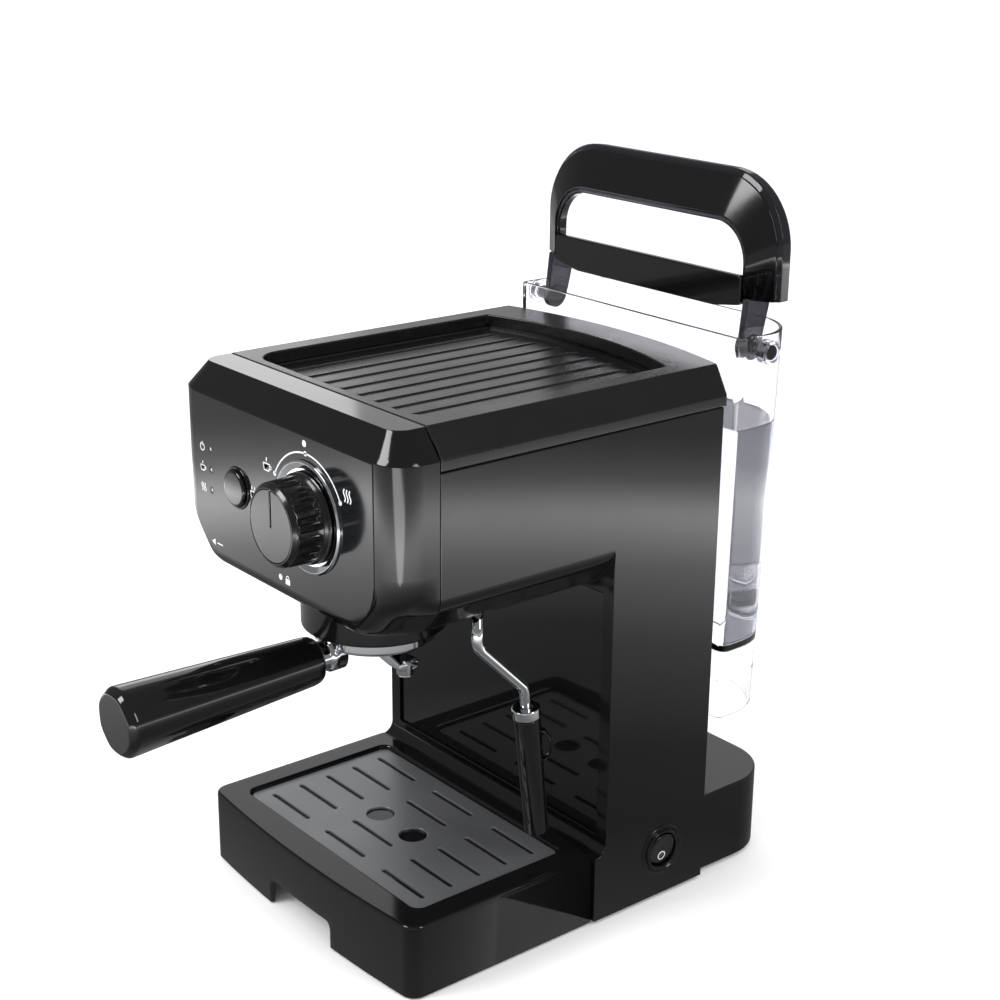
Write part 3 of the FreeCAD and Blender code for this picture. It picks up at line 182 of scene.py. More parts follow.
def turned(start, axis, line, count, shape=None):
    """The rings (m, n, 3) that a line of (radius, height) points draws about a unit axis through
    start, with count points to a ring.  shape, if given, changes the radii by angle and height."""
    angle = np.linspace(0, 2 * np.pi, count, endpoint=False)
    radius = np.repeat(line[:, :1], count, 1)
    height = np.repeat(line[:, 1:], count, 1)
    if shape is not None:
        radius = shape(angle[None], radius, height)
    u = np.cross(axis, UP if abs(axis[2]) < 0.9 else BACK)
    u /= np.linalg.norm(u)
    spokes = np.cos(angle)[:, None] * u + np.sin(angle)[:, None] * np.cross(axis, u)
    return np.array(start) + radius[..., None] * spokes + height[..., None] * axis


class Skin:
    """Collects patches of surface, with their normals, and turns them into one object."""

    def __init__(self):
        self.points, self.normals, self.faces, self.count = [], [], [], 0

    def add(self, points, normals, faces):
        """One patch: points and normals (n, 3), and faces as lists of indices into them."""
        self.points.append(points)
        self.normals.append(normals)
        self.faces.extend([[i + self.count for i in face] for face in faces])
        self.count += len(points)

    def rings(self, rings, first=None, last=None):
        """The surface through closed rings (m, n, 3), each counterclockwise seen from the way they
        advance.  A normal is the cross product of the differences to the neighbours either way, so
        long flat strips keep flat shading.  first and last are the normals of flat end caps."""
        m, n = rings.shape[:2]
        along = np.gradient(rings, axis=0)
        along[1:-1] *= 2
        normal = facing(rings, along)
        faces = quads(m, n, False)
        if first is not None:
            normal[0] = first
            faces.append(list(range(n))[::-1])
        if last is not None:
            normal[-1] = last
            faces.append(list(range((m - 1) * n, m * n)))
        self.add(rings.reshape(-1, 3), normal.reshape(-1, 3), faces)

    def slab(self, plane, outer, low, high, low_round=0.5, high_round=0.5, holes=(), steps=6):
        """A plate between two flat outlines, with rounded rims.  The rim's rings are the outline
        moved inwards, and each hole's moved outwards, along a quarter circle; the flats between
        them are filled with triangles."""
        patches = Skin()
        profile = soft_edge(low, high, low_round, high_round)
        ends = ([], [])
        for k, contour in enumerate([outer, *holes]):
            sign = 1 if k == 0 else -1
            flat = [rounded(shrunk(contour, sign * inset), steps) for inset, height in profile]
            rings = np.array([level(f, height) for f, (inset, height) in zip(flat, profile)])
            part = Skin()
            part.rings(rings)
            normal = part.normals[0].reshape(rings.shape) * sign
            normal[0], normal[-1] = DOWN, UP
            faces = part.faces if k == 0 else [f[::-1] for f in part.faces]
            patches.add(part.points[0], normal.reshape(-1, 3), faces)
            ends[0].append(rings[0])
            ends[1].append(rings[-1])
        for contours, up in zip(ends, (-1, 1)):
            spots = np.concatenate(contours)
            flat = [[Vector(p) for p in contour] for contour in contours]
            tris = np.array(tessellate_polygon(flat))
            a, b, c = spots[tris[:, 0]], spots[tris[:, 1]], spots[tris[:, 2]]
            wrong = np.cross(b - a, c - a)[:, 2] * up < 0
            tris[wrong] = tris[wrong][:, ::-1]
            patches.add(spots, np.tile((0.0, 0.0, up), (len(spots), 1)), tris.tolist())
        order = {"XY": (0, 1, 2), "XZ": (0, 2, 1), "YZ": (2, 0, 1)}[plane]
        for points, normals in zip(patches.points, patches.normals):
            points[:] = points[:, order]
            normals[:] = normals[:, order]
        faces = [f[::-1] for f in patches.faces] if plane == "XZ" else patches.faces
        self.add(np.concatenate(patches.points), np.concatenate(patches.normals), faces)

    def lathe(self, start, axis, profile, count=96, shape=None, steps=5):
        """A profile of (radius, height, fillet) corners turned about an axis through start, with
        flat ends.  Where a shape changes the radii, there is a ring at least every millimetre."""
        line = rounded([(max(p[0], 0.2), *p[1:]) for p in profile], steps, closed=False)
        if shape is not None:
            line = subdivided(line, 1.0)
        axis = np.array(axis, float) / np.linalg.norm(axis)
        self.rings(turned(start, axis, line, count, shape), -axis, axis)

    def hoop(self, start, axis, profile, count=96, steps=4):
        """A ring: a closed profile of (radius, height, fillet) corners, counterclockwise with the
        radius across and the height up, turned about an axis through start."""
        axis = np.array(axis, float) / np.linalg.norm(axis)
        grid = turned(start, axis, rounded(profile, steps), count)
        normal = facing(grid, np.roll(grid, -1, 0) - np.roll(grid, 1, 0))
        self.add(grid.reshape(-1, 3), normal.reshape(-1, 3), quads(*grid.shape[:2], True))

    def tube(self, route, radius, count=24, bend=9.0, steps=10, x=0.0):
        """A round tube in an upright plane at x, along (depth, height) points joined by arcs of
        radius bend.  Each ring stands across the route's tangent."""
        line = rounded([(*p, bend) for p in route], steps, closed=False)
        tangent = np.gradient(line, axis=0)
        tangent /= np.linalg.norm(tangent, axis=1)[:, None]
        angle = np.linspace(0, 2 * np.pi, count, endpoint=False)
        across = np.column_stack([np.zeros(len(line)), -tangent[:, 1], tangent[:, 0]])
        spine = np.column_stack([np.full(len(line), x), line])
        ahead = np.column_stack([np.zeros(len(line)), tangent])
        ring = radius * (np.cos(angle)[None, :, None] * across[:, None]
                         + np.sin(angle)[None, :, None] * np.cross(ahead, across)[:, None])
        self.rings(spine[:, None] + ring, -ahead[0], ahead[-1])

    def make(self, name, material, body, slot, *nodes):
        """One object from the patches, riding on a body and standing for CAD nodes."""
        mesh = bpy.data.meshes.new(name)
        points = np.concatenate(self.points) * MM + (0, SEAM, 0)
        mesh.from_pydata(points.tolist(), [], self.faces)
        mesh.polygons.foreach_set("use_smooth", np.ones(len(mesh.polygons), bool))
        mesh.validate()
        mesh.normals_split_custom_set_from_vertices(np.concatenate(self.normals).tolist())
        mesh.materials.append(material)
        made = bpy.data.objects.new(name, mesh)
        bpy.context.collection.objects.link(made)
        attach(made, body)
        if nodes:
            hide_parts(*nodes)
        return made


# ---------------------------------------------------------------------------------------------
# Materials
# ---------------------------------------------------------------------------------------------
def linear(hex_colour):
    """An sRGB hex colour as linear RGBA."""
    c = np.array([int(hex_colour[i:i + 2], 16) / 255 for i in (1, 3, 5)])
    c = np.where(c <= 0.04045, c / 12.92, ((c + 0.055) / 1.055) ** 2.4)
    return (*c.tolist(), 1.0)


def add_node(tree, kind, values=(), **settings):
    """A shader node with its properties, and its sockets' values as (socket, value) pairs."""
    made = tree.nodes.new(kind)
    for name, value in settings.items():
        setattr(made, name, value)
    for socket, value in values:
        made.inputs[socket].default_value = value
    return made


def surface(name, colour, roughness, grain=0.0, grain_mm=1.0, smudge=0.0, **sockets):
    """A principled material.  grain is the height in millimetres of a fine bump whose size is
    grain_mm, and smudge is how much the roughness drifts over a few centimetres.  sockets are more
    values by socket name."""
    made = bpy.data.materials.get(name)
    if made:
        return made
    made = bpy.data.materials.new(name)
    made.use_nodes = True
    tree = made.node_tree
    shader = tree.nodes["Principled BSDF"]
    shader.inputs["Base Color"].default_value = colour
    shader.inputs["Roughness"].default_value = roughness
    for socket, value in sockets.items():
        shader.inputs[socket.replace("_", " ")].default_value = value
    place = add_node(tree, "ShaderNodeTexCoord")
    if grain:
        noise = add_node(tree, "ShaderNodeTexNoise", [("Scale", 1 / (grain_mm * MM)), ("Detail", 3.0)])
        bump = add_node(tree, "ShaderNodeBump", [("Strength", 1.0), ("Distance", grain * MM)])
        tree.links.new(place.outputs["Object"], noise.inputs["Vector"])
        tree.links.new(noise.outputs["Fac"], bump.inputs["Height"])
        tree.links.new(bump.outputs["Normal"], shader.inputs["Normal"])
    if smudge:
        cloud = add_node(tree, "ShaderNodeTexNoise", [("Scale", 1 / (35 * MM)), ("Detail", 4.0)])
        spread = add_node(tree, "ShaderNodeMapRange", [("From Min", 0.3), ("From Max", 0.7),
                                                       ("To Min", roughness - smudge / 2),
                                                       ("To Max", roughness + smudge / 2)])
        tree.links.new(place.outputs["Object"], cloud.inputs["Vector"])
        tree.links.new(cloud.outputs["Fac"], spread.inputs["Value"])
        tree.links.new(spread.outputs["Result"], shader.inputs["Roughness"])
    return made


def finishes(colours):
    """Every material of the machine, by name."""
    gloss, satin = tuple(colours.gloss), tuple(colours.satin)
    return {
        # Moulded ABS, polished tool: a soft sheen that drifts a little with the moulding.
        "shell": surface("glossy ABS shell", tuple(colours.shell), 0.09, grain=0.002, grain_mm=3.0,
                         smudge=0.03, IOR=1.53),
        # Moulded ABS, finely sparked tool: a satin skin.
        "satin": surface("satin ABS top", satin, 0.27, grain=0.008, grain_mm=0.5, smudge=0.06, IOR=1.53),
        # Printed polycarbonate sheet over the controls.
        "panel": surface("polycarbonate panel", tuple(colours.panel), 0.11, grain=0.002, grain_mm=2.5,
                         smudge=0.04, IOR=1.58),
        # Piano-black ABS: a mirror with a trace of mould waviness.
        "gloss": surface("piano black ABS", gloss, 0.05, grain=0.002, grain_mm=6.0, Coat_Weight=0.3,
                         Coat_Roughness=0.03, IOR=1.53),
        "grip": surface("polished handle", gloss, 0.1, grain=0.003, grain_mm=4.0, smudge=0.03,
                        Coat_Weight=0.3, Coat_Roughness=0.05, IOR=1.53),
        "knob": surface("knob ABS", gloss, 0.19, grain=0.003, grain_mm=0.8, smudge=0.04, Coat_Weight=0.3,
                        Coat_Roughness=0.08, IOR=1.53),
        # Coated sheet steel: metal flakes under a satin lacquer.
        "grate": surface("lacquered steel grate", tuple(colours.grate), 0.34, grain=0.006, grain_mm=0.35,
                         smudge=0.08, Metallic=0.6),
        "matte": surface("matt black ABS", satin, 0.5, grain=0.02, grain_mm=0.4, IOR=1.53),
        # Chrome plate over brass or plastic.
        "chrome": surface("chrome plate", linear("#e3e5e8"), 0.07, smudge=0.04, Metallic=1.0),
        # Stainless steel, turned or rolled, with fine lines.
        "steel": surface("stainless steel", linear("#b9bcc0"), 0.22, grain=0.002, grain_mm=0.3, smudge=0.08,
                         Metallic=1.0, Anisotropic=0.4),
        # Die-cast aluminium, tumbled: slightly rough all over.
        "alloy": surface("die-cast aluminium", linear("#a9abae"), 0.34, grain=0.01, grain_mm=0.4, smudge=0.1,
                         Metallic=1.0),
        # The same casting under a black enamel.
        "coated": surface("black enamel", gloss, 0.14, grain=0.004, grain_mm=2.0, smudge=0.04, IOR=1.5),
        "brass": surface("turned brass", linear("#b8934a"), 0.3, grain=0.002, grain_mm=0.3, smudge=0.05,
                         Metallic=1.0),
        "rubber": surface("moulded rubber", linear("#141415"), 0.75, grain=0.01, grain_mm=0.3, IOR=1.52),
        # Screen-printed ink: thin, slightly uneven white.
        "ink": surface("screen print ink", linear("#dfe1e3"), 0.45, grain=0.002, grain_mm=0.2, smudge=0.05),
        "lens": surface("lamp lens", linear("#d9d4ca"), 0.15, grain=0.003, grain_mm=0.4, IOR=1.49,
                        Transmission_Weight=0.3),
        # Clear styrene-acrylonitrile: water-clear walls.
        "clear": surface("clear SAN", linear("#fafaff"), 0.02, grain=0.001, grain_mm=8.0, IOR=1.45,
                         Transmission_Weight=1.0),
        "smoke": surface("smoked clear plastic", linear("#34353b"), 0.05, grain=0.001, grain_mm=6.0, IOR=1.49,
                         Transmission_Weight=0.8),
        "water": surface("water", linear("#fbfdff"), 0.0, grain=0.002, grain_mm=12.0, IOR=1.333,
                         Transmission_Weight=1.0),
        "inner": surface("inner plastic", linear("#77787a"), 0.5, grain=0.01, grain_mm=0.5, IOR=1.5),
    }


# ---------------------------------------------------------------------------------------------
# Settings
# ---------------------------------------------------------------------------------------------
def distance(name, description, millimetres):
    """A length the user can change."""
    return FloatProperty(name=name, description=description, default=millimetres * MM, subtype="DISTANCE",
                         precision=4)


def colour(name, description, hex_colour):
    """A colour the user can change."""
    return FloatVectorProperty(name=name, description=description, default=linear(hex_colour), size=4,
                               subtype="COLOR", min=0.0, max=1.0)


class EspressoSizes(bpy.types.PropertyGroup):
    """Lengths from the machine's middle plane, the seam and the floor."""
    half: distance("Half width", "Middle plane to the side of the casing", 92.5)
    high: distance("Height", "Floor to the top of the head", 281.8)
    bevel_high: distance("Bevel start", "Height where the top bevel starts", 268.9)
    bevel_in: distance("Bevel inset", "How far the top bevel leans in at the sides", 11.1)
    front: distance("Front face", "Seam to the front face, negative forwards", -25.2)
    front_round: distance("Front corner radius", "Radius of the upright front corners", 16.0)
    dial_high: distance("Dial height", "Height of the knob", 229.5)
    knob_x: distance("Knob position", "Middle plane to the knob", 25.0)
    button_x: distance("Button position", "Middle plane to the button", -36.0)
    button_high: distance("Button height", "Height of the button", 227.8)
    lamp_x: distance("Lamp position", "Middle plane to the lamps", -61.0)
    tray_half: distance("Tray half width", "Middle plane to the side of the drip tray", 90.5)
    tray_high: distance("Tray height", "Height of the drip tray's rim", 40.0)
    group_y: distance("Group depth", "Seam to the axis of the brew group", 29.0)
    grip_high: distance("Handle height", "Height of the portafilter handle beside the bowl", 145.0)
    grip_end: distance("Handle reach", "Seam to the handle's far end, forwards", 117.0)
    wand_x: distance("Wand position", "Middle plane to the steam wand", 72.0)
    tank_foot: distance("Tank underside", "Height of the water tank's underside", 85.0)
    tank_high: distance("Tank height", "Height of the water tank", 208.0)
    water_high: distance("Water level", "Height of the water in the tank", 245.0)
    pivot_y: distance("Tank pivot depth", "Seam to the carrying handle's pivot", 209.0)


class EspressoColours(bpy.types.PropertyGroup):
    """Colours of the main plastics."""
    shell: colour("Shell", "Glossy casing", "#0b0b0c")
    satin: colour("Top", "Satin top and matt pieces", "#0f0f10")
    panel: colour("Panel", "Control panel", "#131416")
    gloss: colour("Gloss", "Piano-black pieces", "#0a0a0b")
    grate: colour("Grate", "Drip grate", "#77787a")


def settings():
    """The sizes in millimetres, and the materials in the set colours."""
    scene = bpy.context.scene
    sizes = scene.espresso_sizes
    plain = {name: getattr(sizes, name) / MM for name in EspressoSizes.__annotations__}
    return SimpleNamespace(**plain), finishes(scene.espresso_colours)


def dress(material, *names, edge=0.8):
    """Finishes CAD nodes: their loose triangles are joined, flats made whole, edges rounded by
    edge millimetres, and the shading follows the largest faces."""
    smooth = bpy.data.node_groups.get("smooth faces") or smooth_group()
    for name in names:
        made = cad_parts[name]
        if not made.material_slots:
            made.data.materials.append(material)
        for slot in made.material_slots:
            slot.material = material
        weld = made.modifiers.new("join", "WELD")
        weld.merge_threshold = 1e-6
        flats = made.modifiers.new("flats", "DECIMATE")
        flats.decimate_type = "DISSOLVE"
        flats.angle_limit = math.radians(1.0)
        made.modifiers.new("smooth", "NODES").node_group = smooth
        if edge:
            soften = made.modifiers.new("edges", "BEVEL")
            soften.width = edge * MM
            soften.segments = 3
            soften.limit_method = "ANGLE"
            soften.angle_limit = math.radians(35)
            soften.use_clamp_overlap = False
        shade = made.modifiers.new("shading", "WEIGHTED_NORMAL")
        shade.weight = 90


def smooth_group():
    """Geometry nodes that make every face smooth."""
    made = bpy.data.node_groups.new("smooth faces", "GeometryNodeTree")
    for way in ("INPUT", "OUTPUT"):
        made.interface.new_socket("Geometry", in_out=way, socket_type="NodeSocketGeometry")
    start = made.nodes.new("NodeGroupInput")
    smooth = made.nodes.new("GeometryNodeSetShadeSmooth")
    end = made.nodes.new("NodeGroupOutput")
    made.links.new(start.outputs[0], smooth.inputs[0])
    made.links.new(smooth.outputs[0], end.inputs[0])
    return made


# ---------------------------------------------------------------------------------------------
# Casing
# ---------------------------------------------------------------------------------------------
def head_half(half, z, corner, low_in, radius):
    """Half width of the head at heights z: its side runs straight down from above the top to
    corner, then leans in by low_in towards the underside, with both bends rounded by radius."""
    above = 300.0
    side = rounded([(half, above), (half, corner, radius), (half - low_in, HEAD_LOW, radius),
                    (0.0, HEAD_LOW)], 12, closed=False)
    side = side[:-1]
    return np.interp(z, side[::-1, 1], side[::-1, 0])


class Builder:
    """What the operators share."""
    bl_options = {"REGISTER", "UNDO"}


class ESPRESSO_OT_front(Builder, bpy.types.Operator):
    """Front cover.  Outlines seen from above are stacked from the underside to the top: the front
    comes forward along a quarter circle, the sides widen from the seam's section to the front's
    fuller one, and above the bevel's foot every edge moves in evenly and the corners tighten"""
    bl_idname = "espresso.front"
    bl_label = "Front cover"

    def execute(self, context):
        sizes, look = settings()
        low_r, lip, lap = 7.0, 0.35, -0.3
        lean, tighter = 9.2, 7.5
        turn = np.linspace(0, np.pi / 2, 8)
        bevel = np.linspace(sizes.bevel_high, sizes.high - 0.5, 7)
        heights = np.unique(np.concatenate([
            HEAD_LOW + low_r * (1 - np.cos(turn)), np.linspace(182, 214, 33),
            np.linspace(216, sizes.bevel_high - 0.6, 6), bevel]))
        rings = []
        for z in heights:
            share = max(0.0, (z - sizes.bevel_high) / (sizes.high - sizes.bevel_high))
            dip = max(0.0, low_r - (z - HEAD_LOW))
            front = sizes.front + low_r - math.sqrt(low_r ** 2 - dip ** 2) + lean * share
            seam = float(head_half(sizes.half, z, 199.0, 17.0, 12.0)) - sizes.bevel_in * share
            full = float(head_half(sizes.half, z, 208.0, 26.0, 22.0)) - sizes.bevel_in * share
            bend = sizes.front_round - tighter * share
            flat = rounded([(seam - lip, lap), (seam, lap - lip, 0.2), (full, front, bend),
                            (-full, front, bend), (-seam, lap - lip, 0.2), (lip - seam, lap)][::-1], 14)
            rings.append(level(flat, z))
        top = rings[-1].copy()
        middle = np.array((0.0, (sizes.front + lean) / 2))
        for drop, inset in ((0.2, 0.25), (0.0, 0.8)):
            ring = top.copy()
            way = middle - top[:, :2]
            ring[:, :2] += way / np.linalg.norm(way, axis=1)[:, None] * inset
            ring[:, 2] = sizes.high - drop
            rings.append(ring)
        skin = Skin()
        skin.rings(np.array(rings), DOWN, UP)
        skin.make("front_casing", look["shell"], "machine", "shell_black", "front_cover")
        return {"FINISHED"}


class ESPRESSO_OT_casing(Builder, bpy.types.Operator):
    """Casing, base and inner pieces that keep their CAD shapes"""
    bl_idname = "espresso.casing"
    bl_label = "Casing"

    def execute(self, context):
        _, look = settings()
        dress(look["shell"], "side_shell", edge=0.5)
        dress(look["shell"], "base")
        dress(look["satin"], "top_frame", "rear_panel")
        dress(look["gloss"], "splash_panel")
        dress(look["rubber"], "feet", "cord_gland", "tank_seal", "group_seal", "pump_mounts",
              "suction_hose", "pressure_hose", edge=0.4)
        dress(look["steel"], "panel_screws", "shower_screen", "boiler", "thermostats",
              "filter_basket", edge=0.3)
        dress(look["brass"], "steam_valve", "valve_stem", "steam_line", edge=0.3)
        dress(look["coated"], "group_head", edge=1.2)
        dress(look["alloy"], "wand_swivel", edge=0.6)
        dress(look["matte"], "micro_switch", "control_board", "terminal_block", "pump", edge=0.3)
        dress(look["inner"], "valve_plunger", edge=0.3)
        return {"FINISHED"}


class ESPRESSO_OT_plate(Builder, bpy.types.Operator):
    """Warming plate in the cup recess.  Rows run across the plate and are spread from its straight
    front to its bowed back; each row rises over the ribs, a smooth step either side of each rib's
    line that fades out towards both ends, and over the rim, by the square of how near it is"""
    bl_idname = "espresso.plate"
    bl_label = "Warming plate"

    def execute(self, context):
        _, look = settings()
        half, near, low, high = 69.5, 6.4, 273.4, 274.6
        pitch, rib = 14, 0.7
        rim, rim_wide = 1.3, 1.8
        x = np.linspace(-half, half, 281)
        v = np.linspace(0, 1, 61)[:, None]
        back = bow(x, 156.0, 12.6, half + 0.2)[None]
        y = near + v * (back - near)
        line = np.abs((x + pitch / 2) % pitch - pitch / 2)[None]
        ridge = np.clip((2.4 - line) / 1.1, 0, 1) * (np.abs(x) < 63)[None]
        ends = np.clip((y - 17) / 2.5, 0, 1) * np.clip((back - 9 - y) / 2.5, 0, 1)
        smooth = ridge * ends
        z = high + rib * smooth * smooth * (3 - 2 * smooth)
        for edge in (y - near, back - y, (half - np.abs(x))[None]):
            z = z + rim * np.clip(1 - edge / rim_wide, 0, 1) ** 2
        wide = np.broadcast_to(x, y.shape)
        over = np.stack([wide, y, z], -1)
        under = np.stack([wide, y, np.full(y.shape, low)], -1)[:, ::-1]
        skin = Skin()
        skin.rings(np.concatenate([over, under], 1), AHEAD, BACK)
        skin.make("cup_plate", look["satin"], "machine", "sheet_steel", "warming_plate")
        return {"FINISHED"}


# ---------------------------------------------------------------------------------------------
# Controls
# ---------------------------------------------------------------------------------------------
class ESPRESSO_OT_panel(Builder, bpy.types.Operator):
    """Control panel: a thin plate with a rounded rim, open round the button and the lamps"""
    bl_idname = "espresso.panel"
    bl_label = "Control panel"

    def execute(self, context):
        sizes, look = settings()
        lamps = [circle(sizes.lamp_x, sizes.dial_high + 1 + k * LAMP_STEP, 1.7) for k in (-1, 0, 1)]
        outer = [(76.8, 268.2, 0.8), (-76.8, 268.2, 0.8), (-76.8, 188.6, 22.0), (76.8, 188.6, 22.0)]
        skin = Skin()
        skin.slab("XZ", outer, PANEL_FACE, -24.6, 0.25, 0.1,
                  [circle(sizes.button_x, sizes.button_high, 10.6), *lamps])
        skin.make("panel", look["panel"], "machine", "control_black", "control_panel")
        return {"FINISHED"}


def print_strokes(name, look, strokes, fills=()):
    """Printed marks on the panel: lines of (points, width, closed), and filled outlines."""
    skin = Skin()
    ink = (PANEL_FACE - 0.05, PANEL_FACE + 0.05, 0.02, 0.02)
    for points, width, closed in strokes:
        p = np.array(points, float)
        if closed:
            p = np.concatenate([p, p[:1]])
        skin.slab("XZ", band(p, width), *ink, steps=0)
    for corners in fills:
        skin.slab("XZ", corners, *ink, steps=5)
    skin.make(name, look["ink"], "machine", "lamp_white")


def cup(x, z, size, drops=1):
    """Strokes of a cup under falling drops."""
    body = np.array([(-0.55, 0.2), (-0.42, -0.4), (0.3, -0.4), (0.45, 0.2)]) * size + (x, z)
    ear = np.array([(0.45, 0.1), (0.68, 0.05), (0.62, -0.18), (0.36, -0.2)]) * size + (x, z)
    across = np.linspace(-0.3, 0.2, drops) if drops > 1 else np.array([-0.05])
    falls = [(np.array([(a, 0.75), (a, 0.4)]) * size + (x, z), 0.14 * size, False) for a in across]
    return [(body, 0.13 * size, True), (ear, 0.11 * size, False), *falls]


def steam(x, z, size):
    """Three rising wavy strokes."""
    t = np.linspace(0, 1, 9)
    return [(np.column_stack([x + size * (a + 0.12 * np.sin(2 * np.pi * t)), z + size * (t - 0.5)]),
             0.13 * size, False) for a in (-0.36, 0.0, 0.36)]


class ESPRESSO_OT_marks(Builder, bpy.types.Operator):
    """Printed marks: the dial's scale, an arc of constant radius about the knob with a dot at each
    stop, and small signs for power, coffee, steam and the portafilter's places"""
    bl_idname = "espresso.marks"
    bl_label = "Printed marks"

    def execute(self, context):
        sizes, look = settings()
        x, z = sizes.knob_x, sizes.dial_high
        reach, thin = 30.6, 0.5
        t = np.radians(np.linspace(28, 152, 60))
        arc = np.column_stack([x + reach * np.cos(t), z + reach * np.sin(t)])
        stops = [circle(*p, 1.25) for p in (arc[0], arc[30], arc[-1])]
        print_strokes("dial_scale", look, [(arc, 0.8, False)], [*stops, circle(x - 1.3, z + 35.2, 1.6)])
        print_strokes("dial_signs", look, cup(-8.8, 245.8, 5.6) + cup(-21.5, 228.5, 5.0, 2)
                      + steam(57.6, 248.4, 6.0))
        left = sizes.lamp_x - 7.5
        turn = np.radians(np.linspace(115, 425, 22))
        power = [(np.column_stack([left + 1.9 * np.cos(turn), z + 11.4 + 1.9 * np.sin(turn)]), thin, False),
                 ([(left, z + 14.2), (left, z + 11.8)], thin, False)]
        print_strokes("lamp_signs", look, power + cup(left, z + 0.8, 4.2) + steam(left, z - 9.6, 4.2))
        hook = np.radians(np.linspace(0, 180, 12))
        shackle = np.column_stack([6.6 + 1.1 * np.cos(hook), 193.6 + 1.3 * np.sin(hook)])
        lock = [(8.5, 193.4, 0.3), (4.7, 193.4, 0.3), (4.7, 190.6, 0.3), (8.5, 190.6, 0.3)]
        arrow = [(-62.6, 193.1, 0.1), (-59.6, 191.4, 0.1), (-59.6, 194.8, 0.1)]
        shaft = [(-57.8, 193.1), (-52.5, 193.1)]
        print_strokes("place_signs", look, [(shackle, thin, False), (shaft, 0.6, False)],
                      [circle(0.4, 192.8, 1.5), lock, arrow[::-1]])
        return {"FINISHED"}


def fluted(angle, radius, height):
    """The knob's radius: shallow flat-bottomed hollows round the side, between its skirt and rim."""
    wave = np.cos(angle * 20)
    deep = 1.2 / (1 + np.exp(-(wave - 0.05) * 9))
    tall = np.clip((height - 4.6) / 1.2, 0, 1) * np.clip((17.2 - height) / 1.4, 0, 1)
    return radius - deep * tall * (radius > 15)


class ESPRESSO_OT_knob(Builder, bpy.types.Operator):
    """Selector knob: a turned profile whose radius has hollows round its side, a face with a slot
    for a pointer, and the bright dished ring behind it"""
    bl_idname = "espresso.knob"
    bl_label = "Knob"

    def execute(self, context):
        sizes, look = settings()
        x, z = sizes.knob_x, sizes.dial_high
        centre = (x, sizes.front - 0.9, z)
        face, slot = centre[1] - 19.6, 0.55
        skin = Skin()
        skin.lathe(centre, AHEAD, [(21.6, 0), (21.8, 2.6, 0.8), (20.6, 4.0, 0.6), (20.1, 17.6, 2.4),
                                   (17.9, 19.8, 0.7), (17.4, 19.5, 0.3), (17.3, 18.2)], 320, fluted, 6)
        skin.slab("XZ", circle(x, z, 17.35), face, face + 1.4, 0.5, 0.05,
                  [[(x + slot, z + 17.0, 0.5), (x - slot, z + 17.0, 0.5),
                    (x - slot, z - 0.5, 0.5), (x + slot, z - 0.5, 0.5)]], 16)
        skin.make("knob", look["knob"], "selector", "control_black", "selector_knob")
        ring = Skin()
        ring.hoop((x, PANEL_FACE, z), AHEAD,
                  [(27.3, -0.4, 0.1), (27.3, 0.9, 0.4), (26.2, 1.5, 0.4), (23.2, 0.35, 0.8), (21.9, 0.3, 0.1),
                   (21.9, -0.4, 0.1)], 128, 5)
        ring.make("knob_ring_bright", look["chrome"], "machine", "bright_metal", "knob_ring")
        return {"FINISHED"}


class ESPRESSO_OT_button(Builder, bpy.types.Operator):
    """Brew button, its bezel and the lamps: turned profiles, the button's face a shallow crown"""
    bl_idname = "espresso.button"
    bl_label = "Button and lamps"

    def execute(self, context):
        sizes, look = settings()
        centre = (sizes.button_x, PANEL_FACE + 2.0, sizes.button_high)
        skin = Skin()
        skin.lathe(centre, AHEAD, [(9.3, 0), (9.3, 4.5, 1.3), (7.8, 4.75, 1.0), (0.2, 4.95)], 96, None, 6)
        skin.make("button", look["grip"], "button", "control_black", "brew_button")
        rim = Skin()
        rim.hoop(centre, AHEAD, [(10.6, 0.2, 0.1), (10.6, 2.7, 0.5), (9.6, 2.7, 0.3), (9.6, 0.2, 0.1)], 96)
        rim.make("button_rim", look["gloss"], "machine", "face_gloss_black", "button_bezel")
        lamps, wells = Skin(), Skin()
        for k in (-1, 0, 1):
            spot = (sizes.lamp_x, PANEL_FACE + 0.9, sizes.dial_high + 1 + k * LAMP_STEP)
            lamps.lathe(spot, AHEAD, [(1.1, 0), (1.1, 0.5, 0.3), (0.2, 0.9)], 32)
            wells.hoop(spot, AHEAD, [(1.75, -0.2, 0.05), (1.75, 0.95, 0.15), (1.2, 0.95, 0.15),
                                     (1.2, -0.2, 0.05)], 32)
        lamps.make("lamps", look["lens"], "machine", "lamp_white", "lamp_lenses")
        wells.make("lamp_wells", look["gloss"], "machine", "face_gloss_black")
        return {"FINISHED"}


